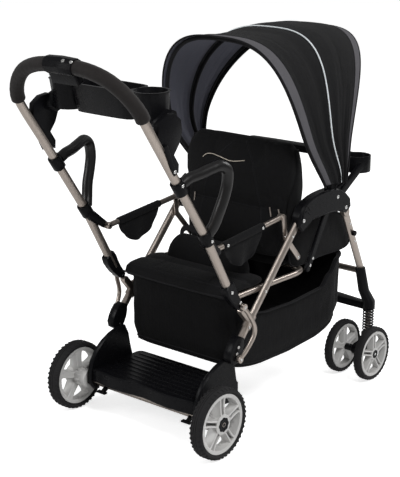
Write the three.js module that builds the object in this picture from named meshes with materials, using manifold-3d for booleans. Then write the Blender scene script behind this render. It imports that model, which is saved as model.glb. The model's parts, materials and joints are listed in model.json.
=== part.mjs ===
import * as THREE from 'three';
import { mergeVertices } from 'three/addons/utils/BufferGeometryUtils.js';
import Module from 'manifold-3d';

const wasm = await Module();
wasm.setup();

// A two-child stroller with a front seat, a rear bench and a standing board, in millimetres.
// X runs across (the pusher's left is +X), the stroller travels towards -Y, and the floor is z = 0.
// Side-view places are written as { y, z } from a point on the floor near the middle of the wheelbase.

// Overall frame
const trackWidth = 540;
const frameHalfWidth = 205;
const fitGap = 0.3;
const tubeRadius = 11.5;
const legWide = 25;
const legDeep = 16;

// Wheels
const rearWheelRadius = 96;
const rearTyreWidth = 38;
const frontWheelRadius = 80;
const frontTyreWidth = 26;
const frontWheelGap = 74;
const tyreBeadShare = 0.82;
const axleRadius = 6;
const frontAxleRadius = 4;

// Side-view places
const rearAxle = { y: 387, z: rearWheelRadius };
const frontAxle = { y: -299, z: frontWheelRadius };
const legTop = { y: -6, z: 532 };
const legFoot = { y: 262, z: 245 };
const foldPivot = { y: -214, z: 530 };
const frontLegFoot = { y: -332, z: 284 };
const casterAxis = { y: -354, z: 190 };
const canopyPivot = { y: -163, z: 566 };
const pushbarFoot = { y: 278, z: 388 };
const pushbarKnee = { y: 381, z: 570 };
const pushbarTop = { y: 599, z: 890 };
const linkTop = { y: 252, z: 360 };
const linkFoot = { y: 267, z: 223 };
const sideBarRear = { y: 322, z: 518 };
const sideBarFront = { y: 40, z: 545 };
const rockerFoot = { y: -28, z: 420 };

// Shared detail sizes
const overrun = 5;
const pinRadius = 4;
const metalSoft = 1;
const plasticSoft = 2;
const bracketSoft = 3;
const weldTolerance = 0.001;
const seamTolerance = 0.1;
const halfTurn = Math.PI;
const fullTurn = 2 * Math.PI;
const metalPaint = { color: 0xb9aaa0, roughness: 0.32, metalness: 0.85 };
const blackPlastic = { color: 0x17171a, roughness: 0.5, metalness: 0 };
const blackFabric = { color: 0x121214, roughness: 0.95, metalness: 0 };
const foamRubber = { color: 0x2a2422, roughness: 0.9, metalness: 0 };
const greyPlastic = { color: 0xc4c2bf, roughness: 0.4, metalness: 0.1 };
const tyreRubber = { color: 0x2e2d2f, roughness: 0.85, metalness: 0 };
const springSteel = { color: 0x1b1b1d, roughness: 0.35, metalness: 0.8 };
const clearPlastic = { color: 0xdfe3e2, roughness: 0.25, metalness: 0 };

const stroller = new THREE.Group();
const sides = [
  ['left', 1],
  ['right', -1],
];

// Points and directions

function spot(x, place) {
  return new THREE.Vector3(x, place.y, place.z);
}

function between(a, b, share) {
  return { y: a.y + (b.y - a.y) * share, z: a.z + (b.z - a.z) * share };
}

function distance(a, b) {
  return Math.hypot(b.y - a.y, b.z - a.z);
}

// The place that lies so far along the line from a to b, and so far to the left of it.
function beside(a, b, along, aside = 0) {
  const length = distance(a, b);
  const dy = (b.y - a.y) / length;
  const dz = (b.z - a.z) / length;
  return { y: a.y + dy * along - dz * aside, z: a.z + dz * along + dy * aside };
}

function moved(place, dy, dz) {
  return { y: place.y + dy, z: place.z + dz };
}

// Side-view places from a table of [place, shift along y, shift along z].
function placesFrom(table) {
  return table.map(([place, dy, dz]) => moved(place, dy, dz));
}

function radians(degrees) {
  return (degrees * halfTurn) / 180;
}

// Closed bodies

function outward(geometry) {
  const position = geometry.attributes.position;
  const index = geometry.index.array;
  const [a, b, c] = [new THREE.Vector3(), new THREE.Vector3(), new THREE.Vector3()];
  let volume = 0;
  for (let i = 0; i < index.length; i += 3) {
    a.fromBufferAttribute(position, index[i]);
    b.fromBufferAttribute(position, index[i + 1]);
    c.fromBufferAttribute(position, index[i + 2]);
    volume += a.dot(b.cross(c));
  }
  if (volume < 0) {
    for (let i = 0; i < index.length; i += 3) {
      [index[i + 1], index[i + 2]] = [index[i + 2], index[i + 1]];
    }
  }
  return geometry;
}

function closed(geometry) {
  const plain = new THREE.BufferGeometry();
  plain.setAttribute('position', geometry.attributes.position.clone());
  if (geometry.index) plain.setIndex(geometry.index.clone());
  return outward(mergeVertices(plain, weldTolerance));
}

function solid(geometry) {
  const body = closed(geometry);
  const vertProperties = new Float32Array(body.attributes.position.array);
  const triVerts = new Uint32Array(body.index.array);
  return new wasm.Manifold(new wasm.Mesh({ numProp: 3, vertProperties, triVerts }));
}

function joined(...geometries) {
  return geometries.map(solid).reduce((sum, next) => sum.add(next));
}

function carved(base, ...tools) {
  return tools.reduce((left, tool) => left.subtract(solid(tool)), base);
}

function geometryOf(body) {
  const mesh = body.simplify(seamTolerance).getMesh();
  const geometry = new THREE.BufferGeometry();
  geometry.setAttribute('position', new THREE.BufferAttribute(new Float32Array(mesh.vertProperties), 3));
  geometry.setIndex(new THREE.BufferAttribute(new Uint32Array(mesh.triVerts), 1));
  return geometry;
}

function addPart(name, shape, finish) {
  const geometry = shape.isBufferGeometry ? closed(shape) : geometryOf(shape);
  geometry.computeVertexNormals();
  const mesh = new THREE.Mesh(geometry, new THREE.MeshStandardMaterial(finish));
  mesh.name = name;
  stroller.add(mesh);
  return mesh;
}

// A body skinned over rings of points, with its first and last ring capped or joined to each other.
function loft(rings, endless = false) {
  const count = rings[0].length;
  const points = rings.flat();
  const faces = [];
  const spans = endless ? rings.length : rings.length - 1;
  for (let r = 0; r < spans; r++) {
    const next = (r + 1) % rings.length;
    for (let i = 0; i < count; i++) {
      const j = (i + 1) % count;
      const [a, b, c, d] = [r * count + i, r * count + j, next * count + j, next * count + i];
      faces.push(a, b, c, a, c, d);
    }
  }
  if (!endless) {
    for (const [ring, reverse] of [[0, true], [rings.length - 1, false]]) {
      const middle = new THREE.Vector3();
      for (const point of rings[ring]) middle.addScaledVector(point, 1 / count);
      points.push(middle);
      for (let i = 0; i < count; i++) {
        const edge = [ring * count + i, ring * count + ((i + 1) % count)];
        if (reverse) edge.reverse();
        faces.push(points.length - 1, edge[0], edge[1]);
      }
    }
  }
  const geometry = new THREE.BufferGeometry().setFromPoints(points);
  geometry.setIndex(faces);
  return geometry;
}

// A thin closed sheet between two grids of points that share their rows and columns.
function sheet(outer, inner) {
  const rings = outer.map((row, r) => [...row, ...[...inner[r]].reverse()]);
  const count = outer[0].length;
  const faces = [];
  const at = (r, i) => r * 2 * count + i;
  for (let r = 0; r + 1 < rings.length; r++) {
    for (let i = 0; i < 2 * count; i++) {
      const j = (i + 1) % (2 * count);
      faces.push(at(r, i), at(r, j), at(r + 1, j), at(r, i), at(r + 1, j), at(r + 1, i));
    }
  }
  const last = rings.length - 1;
  for (let i = 0; i + 1 < count; i++) {
    const far = 2 * count - 1 - i;
    faces.push(at(0, i), at(0, far), at(0, i + 1), at(0, i + 1), at(0, far), at(0, far - 1));
    faces.push(at(last, i), at(last, i + 1), at(last, far), at(last, i + 1), at(last, far - 1), at(last, far));
  }
  const geometry = new THREE.BufferGeometry().setFromPoints(rings.flat());
  geometry.setIndex(faces);
  return geometry;
}

// Stations along a curve, each with its two cross directions.
function stationsOf(curve, steps) {
  const frames = curve.computeFrenetFrames(steps, false);
  return Array.from({ length: steps + 1 }, (_, i) => ({
    point: curve.getPointAt(i / steps),
    normal: frames.normals[i],
    binormal: frames.binormals[i],
  }));
}

function sweep(stations, radius, facets = 12) {
  return loft(
    stations.map(({ point, normal, binormal }) =>
      Array.from({ length: facets }, (_, i) => {
        const turn = (i / facets) * fullTurn;
        return point
          .clone()
          .addScaledVector(normal, radius * Math.cos(turn))
          .addScaledVector(binormal, radius * Math.sin(turn));
      }),
    ),
  );
}

function bentTube(points, radius, steps, facets = 12) {
  return sweep(stationsOf(new THREE.CatmullRomCurve3(points, false, 'centripetal'), steps), radius, facets);
}

function rod(from, to, radius, facets = 12) {
  return sweep(stationsOf(new THREE.LineCurve3(from, to), 1), radius, facets);
}

function crossRod(place, x1, x2, radius, facets = 12) {
  return rod(spot(x1, place), spot(x2, place), radius, facets);
}

// A straight oval tube in a side-view plane, wide across its line and deep along X.
function ovalRod(x, from, to, wide, deep, facets = 12) {
  const rings = [from, to].map((end) =>
    Array.from({ length: facets }, (_, i) => {
      const turn = (i / facets) * fullTurn;
      const aside = (wide / 2) * Math.cos(turn);
      const place = beside(end, to === end ? moved(to, to.y - from.y, to.z - from.z) : to, 0, aside);
      return spot(x + (deep / 2) * Math.sin(turn), place);
    }),
  );
  return loft(rings);
}

// A plate cut to a side-view outline, with softened edges, between two x values.
function plate(outline, x1, x2, softness = 0) {
  const shape = outline.isShape ? outline : new THREE.Shape(outline.map(({ y, z }) => new THREE.Vector2(y, z)));
  const thickness = Math.abs(x2 - x1);
  const geometry = new THREE.ExtrudeGeometry(shape, {
    depth: thickness - 2 * softness,
    bevelEnabled: softness > 0,
    bevelThickness: softness,
    bevelSize: softness,
    bevelOffset: -softness,
    bevelSegments: 1,
    curveSegments: 8,
  });
  const sideView = new THREE.Matrix4().makeBasis(
    new THREE.Vector3(0, 1, 0),
    new THREE.Vector3(0, 0, 1),
    new THREE.Vector3(1, 0, 0),
  );
  geometry.applyMatrix4(sideView);
  geometry.translate(Math.min(x1, x2) + softness, 0, 0);
  return geometry;
}

// A smooth closed outline through side-view places.
function smoothOutline(places, divisions) {
  const points = places.map(({ y, z }) => new THREE.Vector3(y, z, 0));
  const curve = new THREE.CatmullRomCurve3(points, true, 'centripetal');
  return curve.getSpacedPoints(divisions).slice(0, -1).map((p) => ({ y: p.x, z: p.y }));
}

// The outline of a strap with round ends about two places.
function strapOutline(a, b, radiusA, radiusB, arcSteps = 5) {
  const outline = [];
  const heading = Math.atan2(b.z - a.z, b.y - a.y);
  for (const [centre, radius, start] of [[a, radiusA, 0.5], [b, radiusB, -0.5]]) {
    for (let i = 0; i <= arcSteps; i++) {
      const turn = heading + halfTurn * (start + i / arcSteps);
      outline.push({ y: centre.y + radius * Math.cos(turn), z: centre.z + radius * Math.sin(turn) });
    }
  }
  return outline;
}

function slab(x1, x2, y1, y2, z1, z2) {
  const geometry = new THREE.BoxGeometry(Math.abs(x2 - x1), Math.abs(y2 - y1), Math.abs(z2 - z1));
  geometry.translate((x1 + x2) / 2, (y1 + y2) / 2, (z1 + z2) / 2);
  return geometry;
}

// A body of revolution about a line along X, from a closed profile of [radius, x] pairs.
function turned(profile, x, place, segments) {
  const points = profile.map(([radius, along]) => new THREE.Vector2(radius, along));
  const geometry = new THREE.LatheGeometry([...points, points[0]], segments);
  geometry.rotateZ(-halfTurn / 2);
  geometry.translate(x, place.y, place.z);
  return geometry;
}

// Wheels

const wheelSizes = {
  rear: {
    radius: rearWheelRadius, width: rearTyreWidth, shaft: axleRadius, hub: 26, ring: 9, ringWide: 30,
    spoke: 5.5, spokeGap: 9, spokeDeep: 20, segments: 24,
  },
  front: {
    radius: frontWheelRadius, width: frontTyreWidth, shaft: frontAxleRadius, hub: 16, ring: 8, ringWide: 22,
    spoke: 4.5, spokeGap: 7, spokeDeep: 14, segments: 20,
  },
};
const spokePairs = 5;
const drum = { radius: 23, length: 34 };

function beadRadius(size) {
  return size.radius * tyreBeadShare;
}

// Rounded shoulders and slightly drawn-in side walls, over a flat bead.
function tyre(size, x, place) {
  const bead = beadRadius(size) + fitGap;
  const half = size.width / 2;
  const shoulder = size.width / 4;
  const profile = [[bead, -half * 0.8], [size.radius - shoulder, -half], [size.radius, -half + shoulder]];
  const mirrored = [...profile].reverse().map(([radius, along]) => [radius, -along]);
  return turned([...profile, ...mirrored], x, place, size.segments);
}

// A ring, a hub and five pairs of ribs that stand either side of an open slot.
function rim(size, x, place, drumSide = 0) {
  const bead = beadRadius(size);
  const inner = bead - size.ring;
  const half = size.ringWide / 2;
  const section = [[inner, -half * 0.9], [bead, -half], [bead, half], [inner, half * 0.9]];
  const ring = turned(section, x, place, size.segments);
  const hubHalf = size.width / 2;
  const hub = crossRod(place, x - hubHalf, x + hubHalf, size.hub, 10);
  const parts = [ring, hub];
  for (let i = 0; i < spokePairs; i++) {
    for (const side of [-1, 1]) {
      const from = size.hub * 0.8;
      const to = inner + size.ring / 2;
      const across = side * (size.spokeGap + size.spoke) / 2;
      const [low, high] = [across - size.spoke / 2, across + size.spoke / 2];
      const rib = slab(-size.spokeDeep / 2, size.spokeDeep / 2, from, to, low, high);
      rib.rotateX((i / spokePairs) * fullTurn + halfTurn / 2);
      rib.translate(x, place.y, place.z);
      parts.push(rib);
    }
  }
  if (drumSide) {
    const start = x + drumSide * (hubHalf - overrun);
    parts.push(crossRod(place, start, start + drumSide * (drum.length + overrun), drum.radius, 12));
  }
  const span = trackWidth;
  return carved(joined(...parts), crossRod(place, -span, span, size.shaft + fitGap, 12));
}

const rearWheelX = (trackWidth - rearTyreWidth) / 2;
const casterX = frameHalfWidth + 7;
const dualOffset = (frontWheelGap + frontTyreWidth) / 2;

for (const [side, sign] of sides) {
  addPart(`rear_tyre_${side}`, tyre(wheelSizes.rear, sign * rearWheelX, rearAxle), tyreRubber);
  addPart(`rear_rim_${side}`, rim(wheelSizes.rear, sign * rearWheelX, rearAxle, -sign), greyPlastic);
  for (const [row, offset] of [['outer', dualOffset], ['inner', -dualOffset]]) {
    const x = sign * (casterX + offset);
    addPart(`front_tyre_${side}_${row}`, tyre(wheelSizes.front, x, frontAxle), tyreRubber);
    addPart(`front_rim_${side}_${row}`, rim(wheelSizes.front, x, frontAxle), greyPlastic);
  }
}

// Standing board, rear axle and brake

const board = {
  top: 132, thick: 37, front: 205, rear: 402, notch: 7, corner: 22, ribs: 8, rib: 6, ribHigh: 1.6,
};
const fender = { inner: 180, thick: 14 };
const boardHalf = fender.inner - fitGap;
const clampDeep = 22;
const brakePivot = { y: 372, z: 80 };
const brake = { radius: 4, arm: 8, armX: 150, pad: 28, padThick: 6, reach: 15, fall: 9 };
const clampInner = frameHalfWidth - clampDeep / 2;

function platform() {
  const shape = new THREE.Shape();
  const { front, rear, corner, notch } = board;
  shape.moveTo(-boardHalf, front + corner);
  shape.quadraticCurveTo(-boardHalf, front, -boardHalf + corner, front);
  shape.lineTo(boardHalf - corner, front);
  shape.quadraticCurveTo(boardHalf, front, boardHalf, front + corner);
  shape.lineTo(boardHalf, rear - notch);
  const waves = 12;
  for (let i = 1; i <= waves; i++) {
    const share = i / waves;
    const x = boardHalf * (1 - 2 * share);
    shape.lineTo(x, rear - notch * (0.5 + 0.5 * Math.cos(2 * fullTurn * share)));
  }
  const soft = board.ribHigh * 2;
  const deck = new THREE.ExtrudeGeometry(shape, {
    depth: board.thick - 2 * soft,
    bevelEnabled: true,
    bevelThickness: soft,
    bevelSize: soft,
    bevelOffset: -soft,
    bevelSegments: 1,
  });
  deck.translate(0, 0, board.top - board.thick + soft);
  const parts = [deck];
  const reach = boardHalf - corner;
  const step = (rear - front - 2 * corner - board.rib) / (board.ribs - 1);
  for (let i = 0; i < board.ribs; i++) {
    const y = front + corner + i * step;
    parts.push(slab(-reach, reach, y, y + board.rib, board.top - overrun, board.top + board.ribHigh));
  }
  return carved(joined(...parts), crossRod(rearAxle, -trackWidth, trackWidth, axleRadius + fitGap));
}

addPart('platform', platform(), blackPlastic);
const axleEnd = rearWheelX + rearTyreWidth / 2 + fitGap;
addPart('rear_axle', crossRod(rearAxle, -axleEnd, axleEnd, axleRadius), metalPaint);

const fenderPlaces = [
  [legFoot, -2, -25], [legFoot, 54, -31], [legFoot, 92, -49], [rearAxle, 2, 66], [rearAxle, 18, 0],
  [brakePivot, 16, -10], [brakePivot, -12, -10], [rearAxle, -62, -1], [legFoot, -27, -146], [legFoot, -21, -83],
];
const clampPlaces = [
  [linkFoot, -15, 0], [linkFoot, 0, -15], [linkFoot, 22, -10], [linkFoot, 30, 8], [legFoot, 24, 12],
  [legFoot, 2, 34], [legFoot, -22, 28], [legFoot, -20, 0],
];

// Fender plate beside the wheel, with the clamp that holds the foot of the leg.
function rearBracket(sign) {
  const fenderOutline = smoothOutline(placesFrom(fenderPlaces), 17);
  const inner = sign * fender.inner;
  const fenderPlate = plate(fenderOutline, inner, inner + sign * fender.thick, fender.thick / 4);
  const clampOutline = smoothOutline(placesFrom(clampPlaces), 12);
  const clampX = sign * clampInner;
  const clamp = plate(clampOutline, clampX - sign * fitGap, sign * (clampInner + clampDeep));
  const legSocket = ovalRod(sign * frameHalfWidth, legTop, legFoot, legWide + 2 * fitGap, legDeep + 2 * fitGap);
  return carved(
    joined(fenderPlate, clamp),
    legSocket,
    crossRod(rearAxle, 0, sign * trackWidth, axleRadius + fitGap),
    crossRod(brakePivot, 0, sign * trackWidth, brake.radius + fitGap, 10),
    crossRod(linkFoot, 0, sign * trackWidth, pinRadius + fitGap, 10),
  );
}

for (const [side, sign] of sides) {
  addPart(`rear_bracket_${side}`, rearBracket(sign), blackPlastic);
}

// Rear legs, each with the moulded saddle on which the pushbar's foot lands

const saddle = { share: 0.79, length: 40, wall: 4, arm: 9, eye: 13 };
const seatTube = { radius: 8, front: -63, rear: 236, drop: 377, bend: 34 };
const seatTubeX = frameHalfWidth - legDeep / 2 - fitGap - seatTube.radius;

function rearLeg(sign) {
  const x = sign * frameHalfWidth;
  const length = distance(legTop, legFoot);
  const middle = length * saddle.share;
  const start = beside(legTop, legFoot, middle - saddle.length / 2);
  const end = beside(legTop, legFoot, middle + saddle.length / 2);
  const sleeve = ovalRod(x, start, end, legWide + 2 * saddle.wall, legDeep + saddle.wall);
  const inside = slab(0, x - (sign * legDeep) / 2, -trackWidth, trackWidth, 0, trackWidth);
  const trimmed = carved(solid(sleeve), inside);
  const root = beside(legTop, legFoot, middle);
  const tip = beside(linkTop, root, saddle.eye + saddle.arm + fitGap);
  const armOutline = strapOutline(root, tip, saddle.arm, saddle.arm, 4);
  const arm = plate(armOutline, x - legDeep / 2, x + legDeep / 2, metalSoft);
  return trimmed.add(solid(arm)).add(solid(ovalRod(x, legTop, legFoot, legWide, legDeep)));
}

for (const [side, sign] of sides) {
  addPart(`rear_leg_${side}`, rearLeg(sign), metalPaint);
}

// Moulded hub housings that take the rear leg, the front leg's pivot and the canopy's pivot

const housing = { inner: 192.5, outer: 222, soft: 4, clearShare: 0.62 };
const housingPlaces = [
  [legTop, 20, -14], [legTop, 12, 28], [legTop, -34, 53], [canopyPivot, 54, 28], [canopyPivot, 0, 24],
  [foldPivot, 4, 36], [foldPivot, -14, 19], [foldPivot, -19, 0], [foldPivot, 0, -19], [foldPivot, 27, -10],
  [canopyPivot, 30, -38], [canopyPivot, 80, -40], [legTop, -40, -8], [legTop, -14, -25], [legTop, 8, -32],
];
const frontLegX = frameHalfWidth;
const canopyPin = { radius: 5, reach: 20 };
const seatLink = { wide: 22, thick: 11, top: { y: -141, z: 533 }, foot: { y: -52, z: 384 } };
const seatLinkX = seatTubeX + seatTube.radius + fitGap + seatLink.thick / 2;
const trayArm = { root: { y: -325, z: 640 }, foot: { y: -196, z: 562 }, radius: 10, half: 7 };

function trayArmPlate(sign, spare = 0) {
  const radius = trayArm.radius + spare;
  const half = trayArm.half + spare;
  const outline = strapOutline(trayArm.root, trayArm.foot, radius, radius, 4);
  return plate(outline, sign * seatLinkX - half, sign * seatLinkX + half, spare ? 0 : plasticSoft);
}

function seatLinkBar(sign, spare) {
  const half = seatLink.wide / 2;
  const outline = strapOutline(seatLink.foot, seatLink.top, half * 0.8 + spare, half + spare);
  const thick = seatLink.thick / 2 + spare;
  return plate(outline, sign * seatLinkX - thick, sign * seatLinkX + thick, spare ? 0 : seatLink.thick / 5);
}

function hubHousing(sign) {
  const outline = smoothOutline(placesFrom(housingPlaces), 22);
  const inner = sign * housing.inner;
  const outer = sign * housing.outer;
  const body = solid(plate(outline, inner, outer, housing.soft));
  const legClear = frontLegX + legDeep / 2 + fitGap;
  const sweepRadius = distance(foldPivot, canopyPivot) * housing.clearShare;
  const shell = carved(
    body,
    ovalRod(sign * frameHalfWidth, legTop, legFoot, legWide + 2 * fitGap, legDeep + 2 * fitGap),
    crossRod(foldPivot, inner - sign * overrun, sign * legClear, sweepRadius, 24),
    seatLinkBar(sign, fitGap),
    trayArmPlate(sign, fitGap),
  );
  const { radius, reach } = canopyPin;
  const canopyEnd = crossRod(canopyPivot, inner + sign * overrun, inner - sign * reach, radius);
  const foldEnd = crossRod(foldPivot, outer - sign * overrun, sign * (frontLegX - legDeep / 2), radius);
  return shell.add(solid(canopyEnd)).add(solid(foldEnd));
}

for (const [side, sign] of sides) {
  addPart(`hub_housing_${side}`, hubHousing(sign), blackPlastic);
  addPart(`seat_link_${side}`, seatLinkBar(sign, 0), blackPlastic);
}

// One tube runs along both sides of the seats and across under the front seat.
function seatFrameTube(spare = 0) {
  const { front, rear, drop, bend } = seatTube;
  const x = seatTubeX;
  const corner = bend * 0.3;
  const points = [
    [x, rear], [x, (rear + front) / 2], [x, front + bend], [x - corner, front + corner], [x - bend, front],
    [0, front], [bend - x, front], [corner - x, front + corner], [-x, front + bend], [-x, (rear + front) / 2],
    [-x, rear],
  ].map(([px, py]) => new THREE.Vector3(px, py, drop));
  return bentTube(points, seatTube.radius + spare, 14, 8);
}

addPart('seat_frame_tube', seatFrameTube(), metalPaint);

// Front legs and the moulded brace that joins their feet

const brace = { bar: 20, barDeep: 30, wall: 5, flare: 1, sleeveTop: 0.96, sleeveFoot: 40, socket: 34 };
const strut = { radius: 8, foot: 104, play: 12 };
const crossTube = { radius: 9, rise: 32 };
const casterTop = 118;
const frontEye = 15.5;

function frontLeg(sign) {
  const x = sign * frontLegX;
  const cheek = legDeep / 2;
  const neck = beside(foldPivot, frontLegFoot, legWide);
  const eye = plate(strapOutline(foldPivot, neck, frontEye, legWide / 2), x - cheek, x + cheek, metalSoft);
  const shaft = ovalRod(x, beside(foldPivot, frontLegFoot, legWide / 2), frontLegFoot, legWide, legDeep);
  return carved(joined(eye, shaft), crossRod(foldPivot, 0, sign * trackWidth, canopyPin.radius + fitGap));
}

function casterSpot(sign, z) {
  return new THREE.Vector3(sign * casterX, casterAxis.y, z);
}

function braceSleeve(sign) {
  const x = sign * frontLegX;
  const legLength = distance(foldPivot, frontLegFoot);
  const collar = beside(foldPivot, frontLegFoot, legLength * brace.sleeveTop - brace.socket);
  const wide = legWide + 2 * brace.wall;
  const deep = legDeep + 2 * brace.wall;
  const facets = 10;
  const ring = (centreX, centre, halfWide, halfDeep) =>
    Array.from({ length: facets }, (_, i) => {
      const turn = (i / facets) * fullTurn;
      const x = centreX + halfDeep * Math.sin(turn);
      return new THREE.Vector3(x, centre.y + halfWide * Math.cos(turn), centre.z);
    });
  const footHalf = brace.sleeveFoot / 2;
  return loft([
    ring(x, collar, wide / 2, deep / 2),
    ring(x, between(collar, casterAxis, 0.55), wide / 2 + brace.flare, deep / 2 + 2 * brace.flare),
    ring(sign * casterX, moved(casterAxis, 0, brace.sleeveFoot * 0.6), footHalf, footHalf * 0.94),
    ring(sign * casterX, casterAxis, footHalf, footHalf * 0.94),
  ]);
}

function frontBrace() {
  const parts = [];
  const cutters = [];
  const height = casterAxis.z + brace.bar;
  for (const [, sign] of sides) {
    parts.push(braceSleeve(sign));
    const [wide, deep] = [legWide + 2 * fitGap, legDeep + 2 * fitGap];
    cutters.push(ovalRod(sign * frontLegX, foldPivot, frontLegFoot, wide, deep));
    const boreTop = height + brace.sleeveFoot / 2;
    cutters.push(rod(casterSpot(sign, 0), casterSpot(sign, boreTop), strut.radius + fitGap));
  }
  const reach = casterX - strut.radius - brace.wall;
  const board = new THREE.Shape();
  const half = brace.barDeep / 2;
  board.moveTo(-reach, casterAxis.y - half * 0.5);
  board.quadraticCurveTo(0, casterAxis.y - brace.barDeep * 1.4, reach, casterAxis.y - half * 0.5);
  board.lineTo(reach, casterAxis.y + half);
  board.quadraticCurveTo(0, casterAxis.y + half * 0.4, -reach, casterAxis.y + half);
  const bar = new THREE.ExtrudeGeometry(board, {
    depth: brace.bar, bevelEnabled: false, curveSegments: 4,
  });
  bar.translate(0, 0, height - brace.bar);
  cutters.push(crossTubeRod(fitGap));
  return carved(joined(...parts, bar), ...cutters);
}

function crossTubeRod(spare = 0) {
  const place = beside(frontLegFoot, foldPivot, crossTube.rise, 0);
  const reach = frontLegX - legDeep / 2 - fitGap + spare;
  return crossRod(place, -reach, reach, crossTube.radius + spare);
}

for (const [side, sign] of sides) {
  addPart(`front_leg_${side}`, frontLeg(sign), metalPaint);
}
addPart('front_brace', frontBrace(), blackPlastic);
addPart('front_cross_tube', crossTubeRod(), metalPaint);

// Sprung swivelling casters

const spring = { wire: 4.4, outer: 34, curls: 8, stepsPerCurl: 6, facets: 4 };
const fork = { collar: 19, arm: 26, headRise: 4, boss: 15 };

function strutRod(sign) {
  const high = casterAxis.z + brace.sleeveFoot / 2 - strut.play;
  return rod(casterSpot(sign, strut.foot), casterSpot(sign, high), strut.radius);
}

// A helix with straight ends, one unbroken tube.
function coilSpring(sign) {
  const { wire, outer, curls, stepsPerCurl, facets } = spring;
  const radius = (outer - wire) / 2;
  const low = casterTop + fitGap;
  const high = casterAxis.z - fitGap;
  const rise = high - low - 2 * wire;
  const steps = curls * stepsPerCurl;
  const x = sign * casterX;
  const at = (turn, z) => {
    const y = casterAxis.y + radius * Math.sin(turn);
    return new THREE.Vector3(x + radius * Math.cos(turn), y, z);
  };
  const centres = [at(0, low)];
  for (let i = 0; i <= steps; i++) {
    centres.push(at((i / stepsPerCurl) * fullTurn, low + wire + (rise * i) / steps));
  }
  centres.push(at(curls * fullTurn, high));
  const rings = centres.map((centre, k) => {
    const turn = (Math.min(Math.max(k - 1, 0), steps) / stepsPerCurl) * fullTurn;
    const out = new THREE.Vector3(Math.cos(turn), Math.sin(turn), 0);
    const end = k === 0 || k === centres.length - 1;
    const around = new THREE.Vector3(-Math.sin(turn), Math.cos(turn), 0);
    const up = end ? around.clone().negate() : new THREE.Vector3(0, 0, 1);
    return Array.from({ length: facets }, (_, i) => {
      const a = (i / facets) * fullTurn;
      return centre
        .clone()
        .addScaledVector(out, (wire / 2) * Math.cos(a))
        .addScaledVector(up, (wire / 2) * Math.sin(a));
    });
  });
  const pitch = rise / curls;
  console.log(`${sign > 0 ? 'left' : 'right'} spring: least gap between curls ${(pitch - wire).toFixed(2)} mm`);
  return loft(rings);
}

function casterFork(sign) {
  const x = sign * casterX;
  const collar = rod(casterSpot(sign, frontAxle.z - fork.boss), casterSpot(sign, casterTop), fork.collar);
  const head = { y: casterAxis.y, z: frontAxle.z + fork.headRise };
  const armOutline = strapOutline(head, frontAxle, fork.collar, fork.boss);
  const arm = plate(armOutline, x - fork.arm / 2, x + fork.arm / 2, plasticSoft);
  const bossHalf = frontWheelGap / 2 - fitGap;
  const boss = crossRod(frontAxle, x - bossHalf, x + bossHalf, fork.boss * 0.7, 8);
  const axleHalf = dualOffset + frontTyreWidth / 2 + fitGap;
  const axle = crossRod(frontAxle, x - axleHalf, x + axleHalf, frontAxleRadius, 10);
  const boreFoot = casterSpot(sign, strut.foot - fitGap);
  const bore = rod(boreFoot, casterSpot(sign, casterTop + overrun), strut.radius + fitGap);
  return carved(joined(collar, arm, boss, axle), bore);
}

for (const [side, sign] of sides) {
  addPart(`strut_${side}`, strutRod(sign), metalPaint);
  addPart(`coil_spring_${side}`, coilSpring(sign), springSteel);
  addPart(`caster_fork_${side}`, casterFork(sign), blackPlastic);
}

// Pushbar: one bent tube with a soft grip around its top

const handle = { tilt: 66, rise: 126, steps: 12, grip: 18 };
const handleXShares = [1, 0.985, 0.925, 0.82, 0.66, 0.44, 0.2, 0];
const handleRiseShares = [0, 0.16, 0.37, 0.59, 0.795, 0.93, 0.985, 1];
const kneeSpan = 22;
const tilt = radians(handle.tilt);

function handleCurve() {
  const half = handleXShares.map((share, i) => {
    const rise = handle.rise * handleRiseShares[i];
    const place = moved(pushbarTop, rise * Math.cos(tilt), rise * Math.sin(tilt));
    return spot(-frameHalfWidth * share, place);
  });
  const mirrored = half.slice(0, -1).reverse().map((p) => new THREE.Vector3(-p.x, p.y, p.z));
  return new THREE.CatmullRomCurve3([...half, ...mirrored], false, 'centripetal');
}

// Stations through chosen points, each square to the bisector of the path there.
function stationsThrough(points) {
  let normal = new THREE.Vector3(1, 0, 0);
  return points.map((point, i) => {
    const before = points[Math.max(i - 1, 0)];
    const after = points[Math.min(i + 1, points.length - 1)];
    const into = point.clone().sub(before).normalize();
    const outOf = after.clone().sub(point).normalize();
    const tangent = into.add(outOf).normalize();
    normal = normal.clone().addScaledVector(tangent, -normal.dot(tangent)).normalize();
    return { point, normal, binormal: tangent.clone().cross(normal) };
  });
}

const legPart = [
  pushbarFoot,
  beside(pushbarKnee, pushbarFoot, kneeSpan),
  pushbarKnee,
  beside(pushbarKnee, pushbarTop, kneeSpan),
];
const handleStart = legPart.length;
const pushbarPoints = [
  ...legPart.map((place) => spot(-frameHalfWidth, place)),
  ...Array.from({ length: handle.steps + 1 }, (_, i) => handleCurve().getPointAt(i / handle.steps)),
  ...[...legPart].reverse().map((place) => spot(frameHalfWidth, place)),
];
const pushbarStations = stationsThrough(pushbarPoints);
const gripStations = pushbarStations.slice(handleStart, handleStart + handle.steps + 1);
const tubeFacets = 10;

function pushbarBore() {
  return sweep(pushbarStations, tubeRadius + fitGap, tubeFacets);
}

addPart('pushbar', sweep(pushbarStations, tubeRadius, tubeFacets), metalPaint);
addPart('grip_foam', carved(solid(sweep(gripStations, handle.grip, tubeFacets)), pushbarBore()), foamRubber);

// Fold-release housing clamped around the middle of the grip, with its push button

const release = {
  first: 5, last: 7, wall: 3.5, block: 26, hang: 23, button: 8, buttonOut: 6, travel: 5, bore: 16,
};
const crown = moved(pushbarTop, handle.rise * Math.cos(tilt), handle.rise * Math.sin(tilt));
const crownBase = between(crown, pushbarTop, 1);
const blockPlace = beside(crown, crownBase, handle.grip + release.hang / 2);
const releaseX1 = gripStations[release.first].point.x;
const releaseX2 = gripStations[release.last].point.x;

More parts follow.
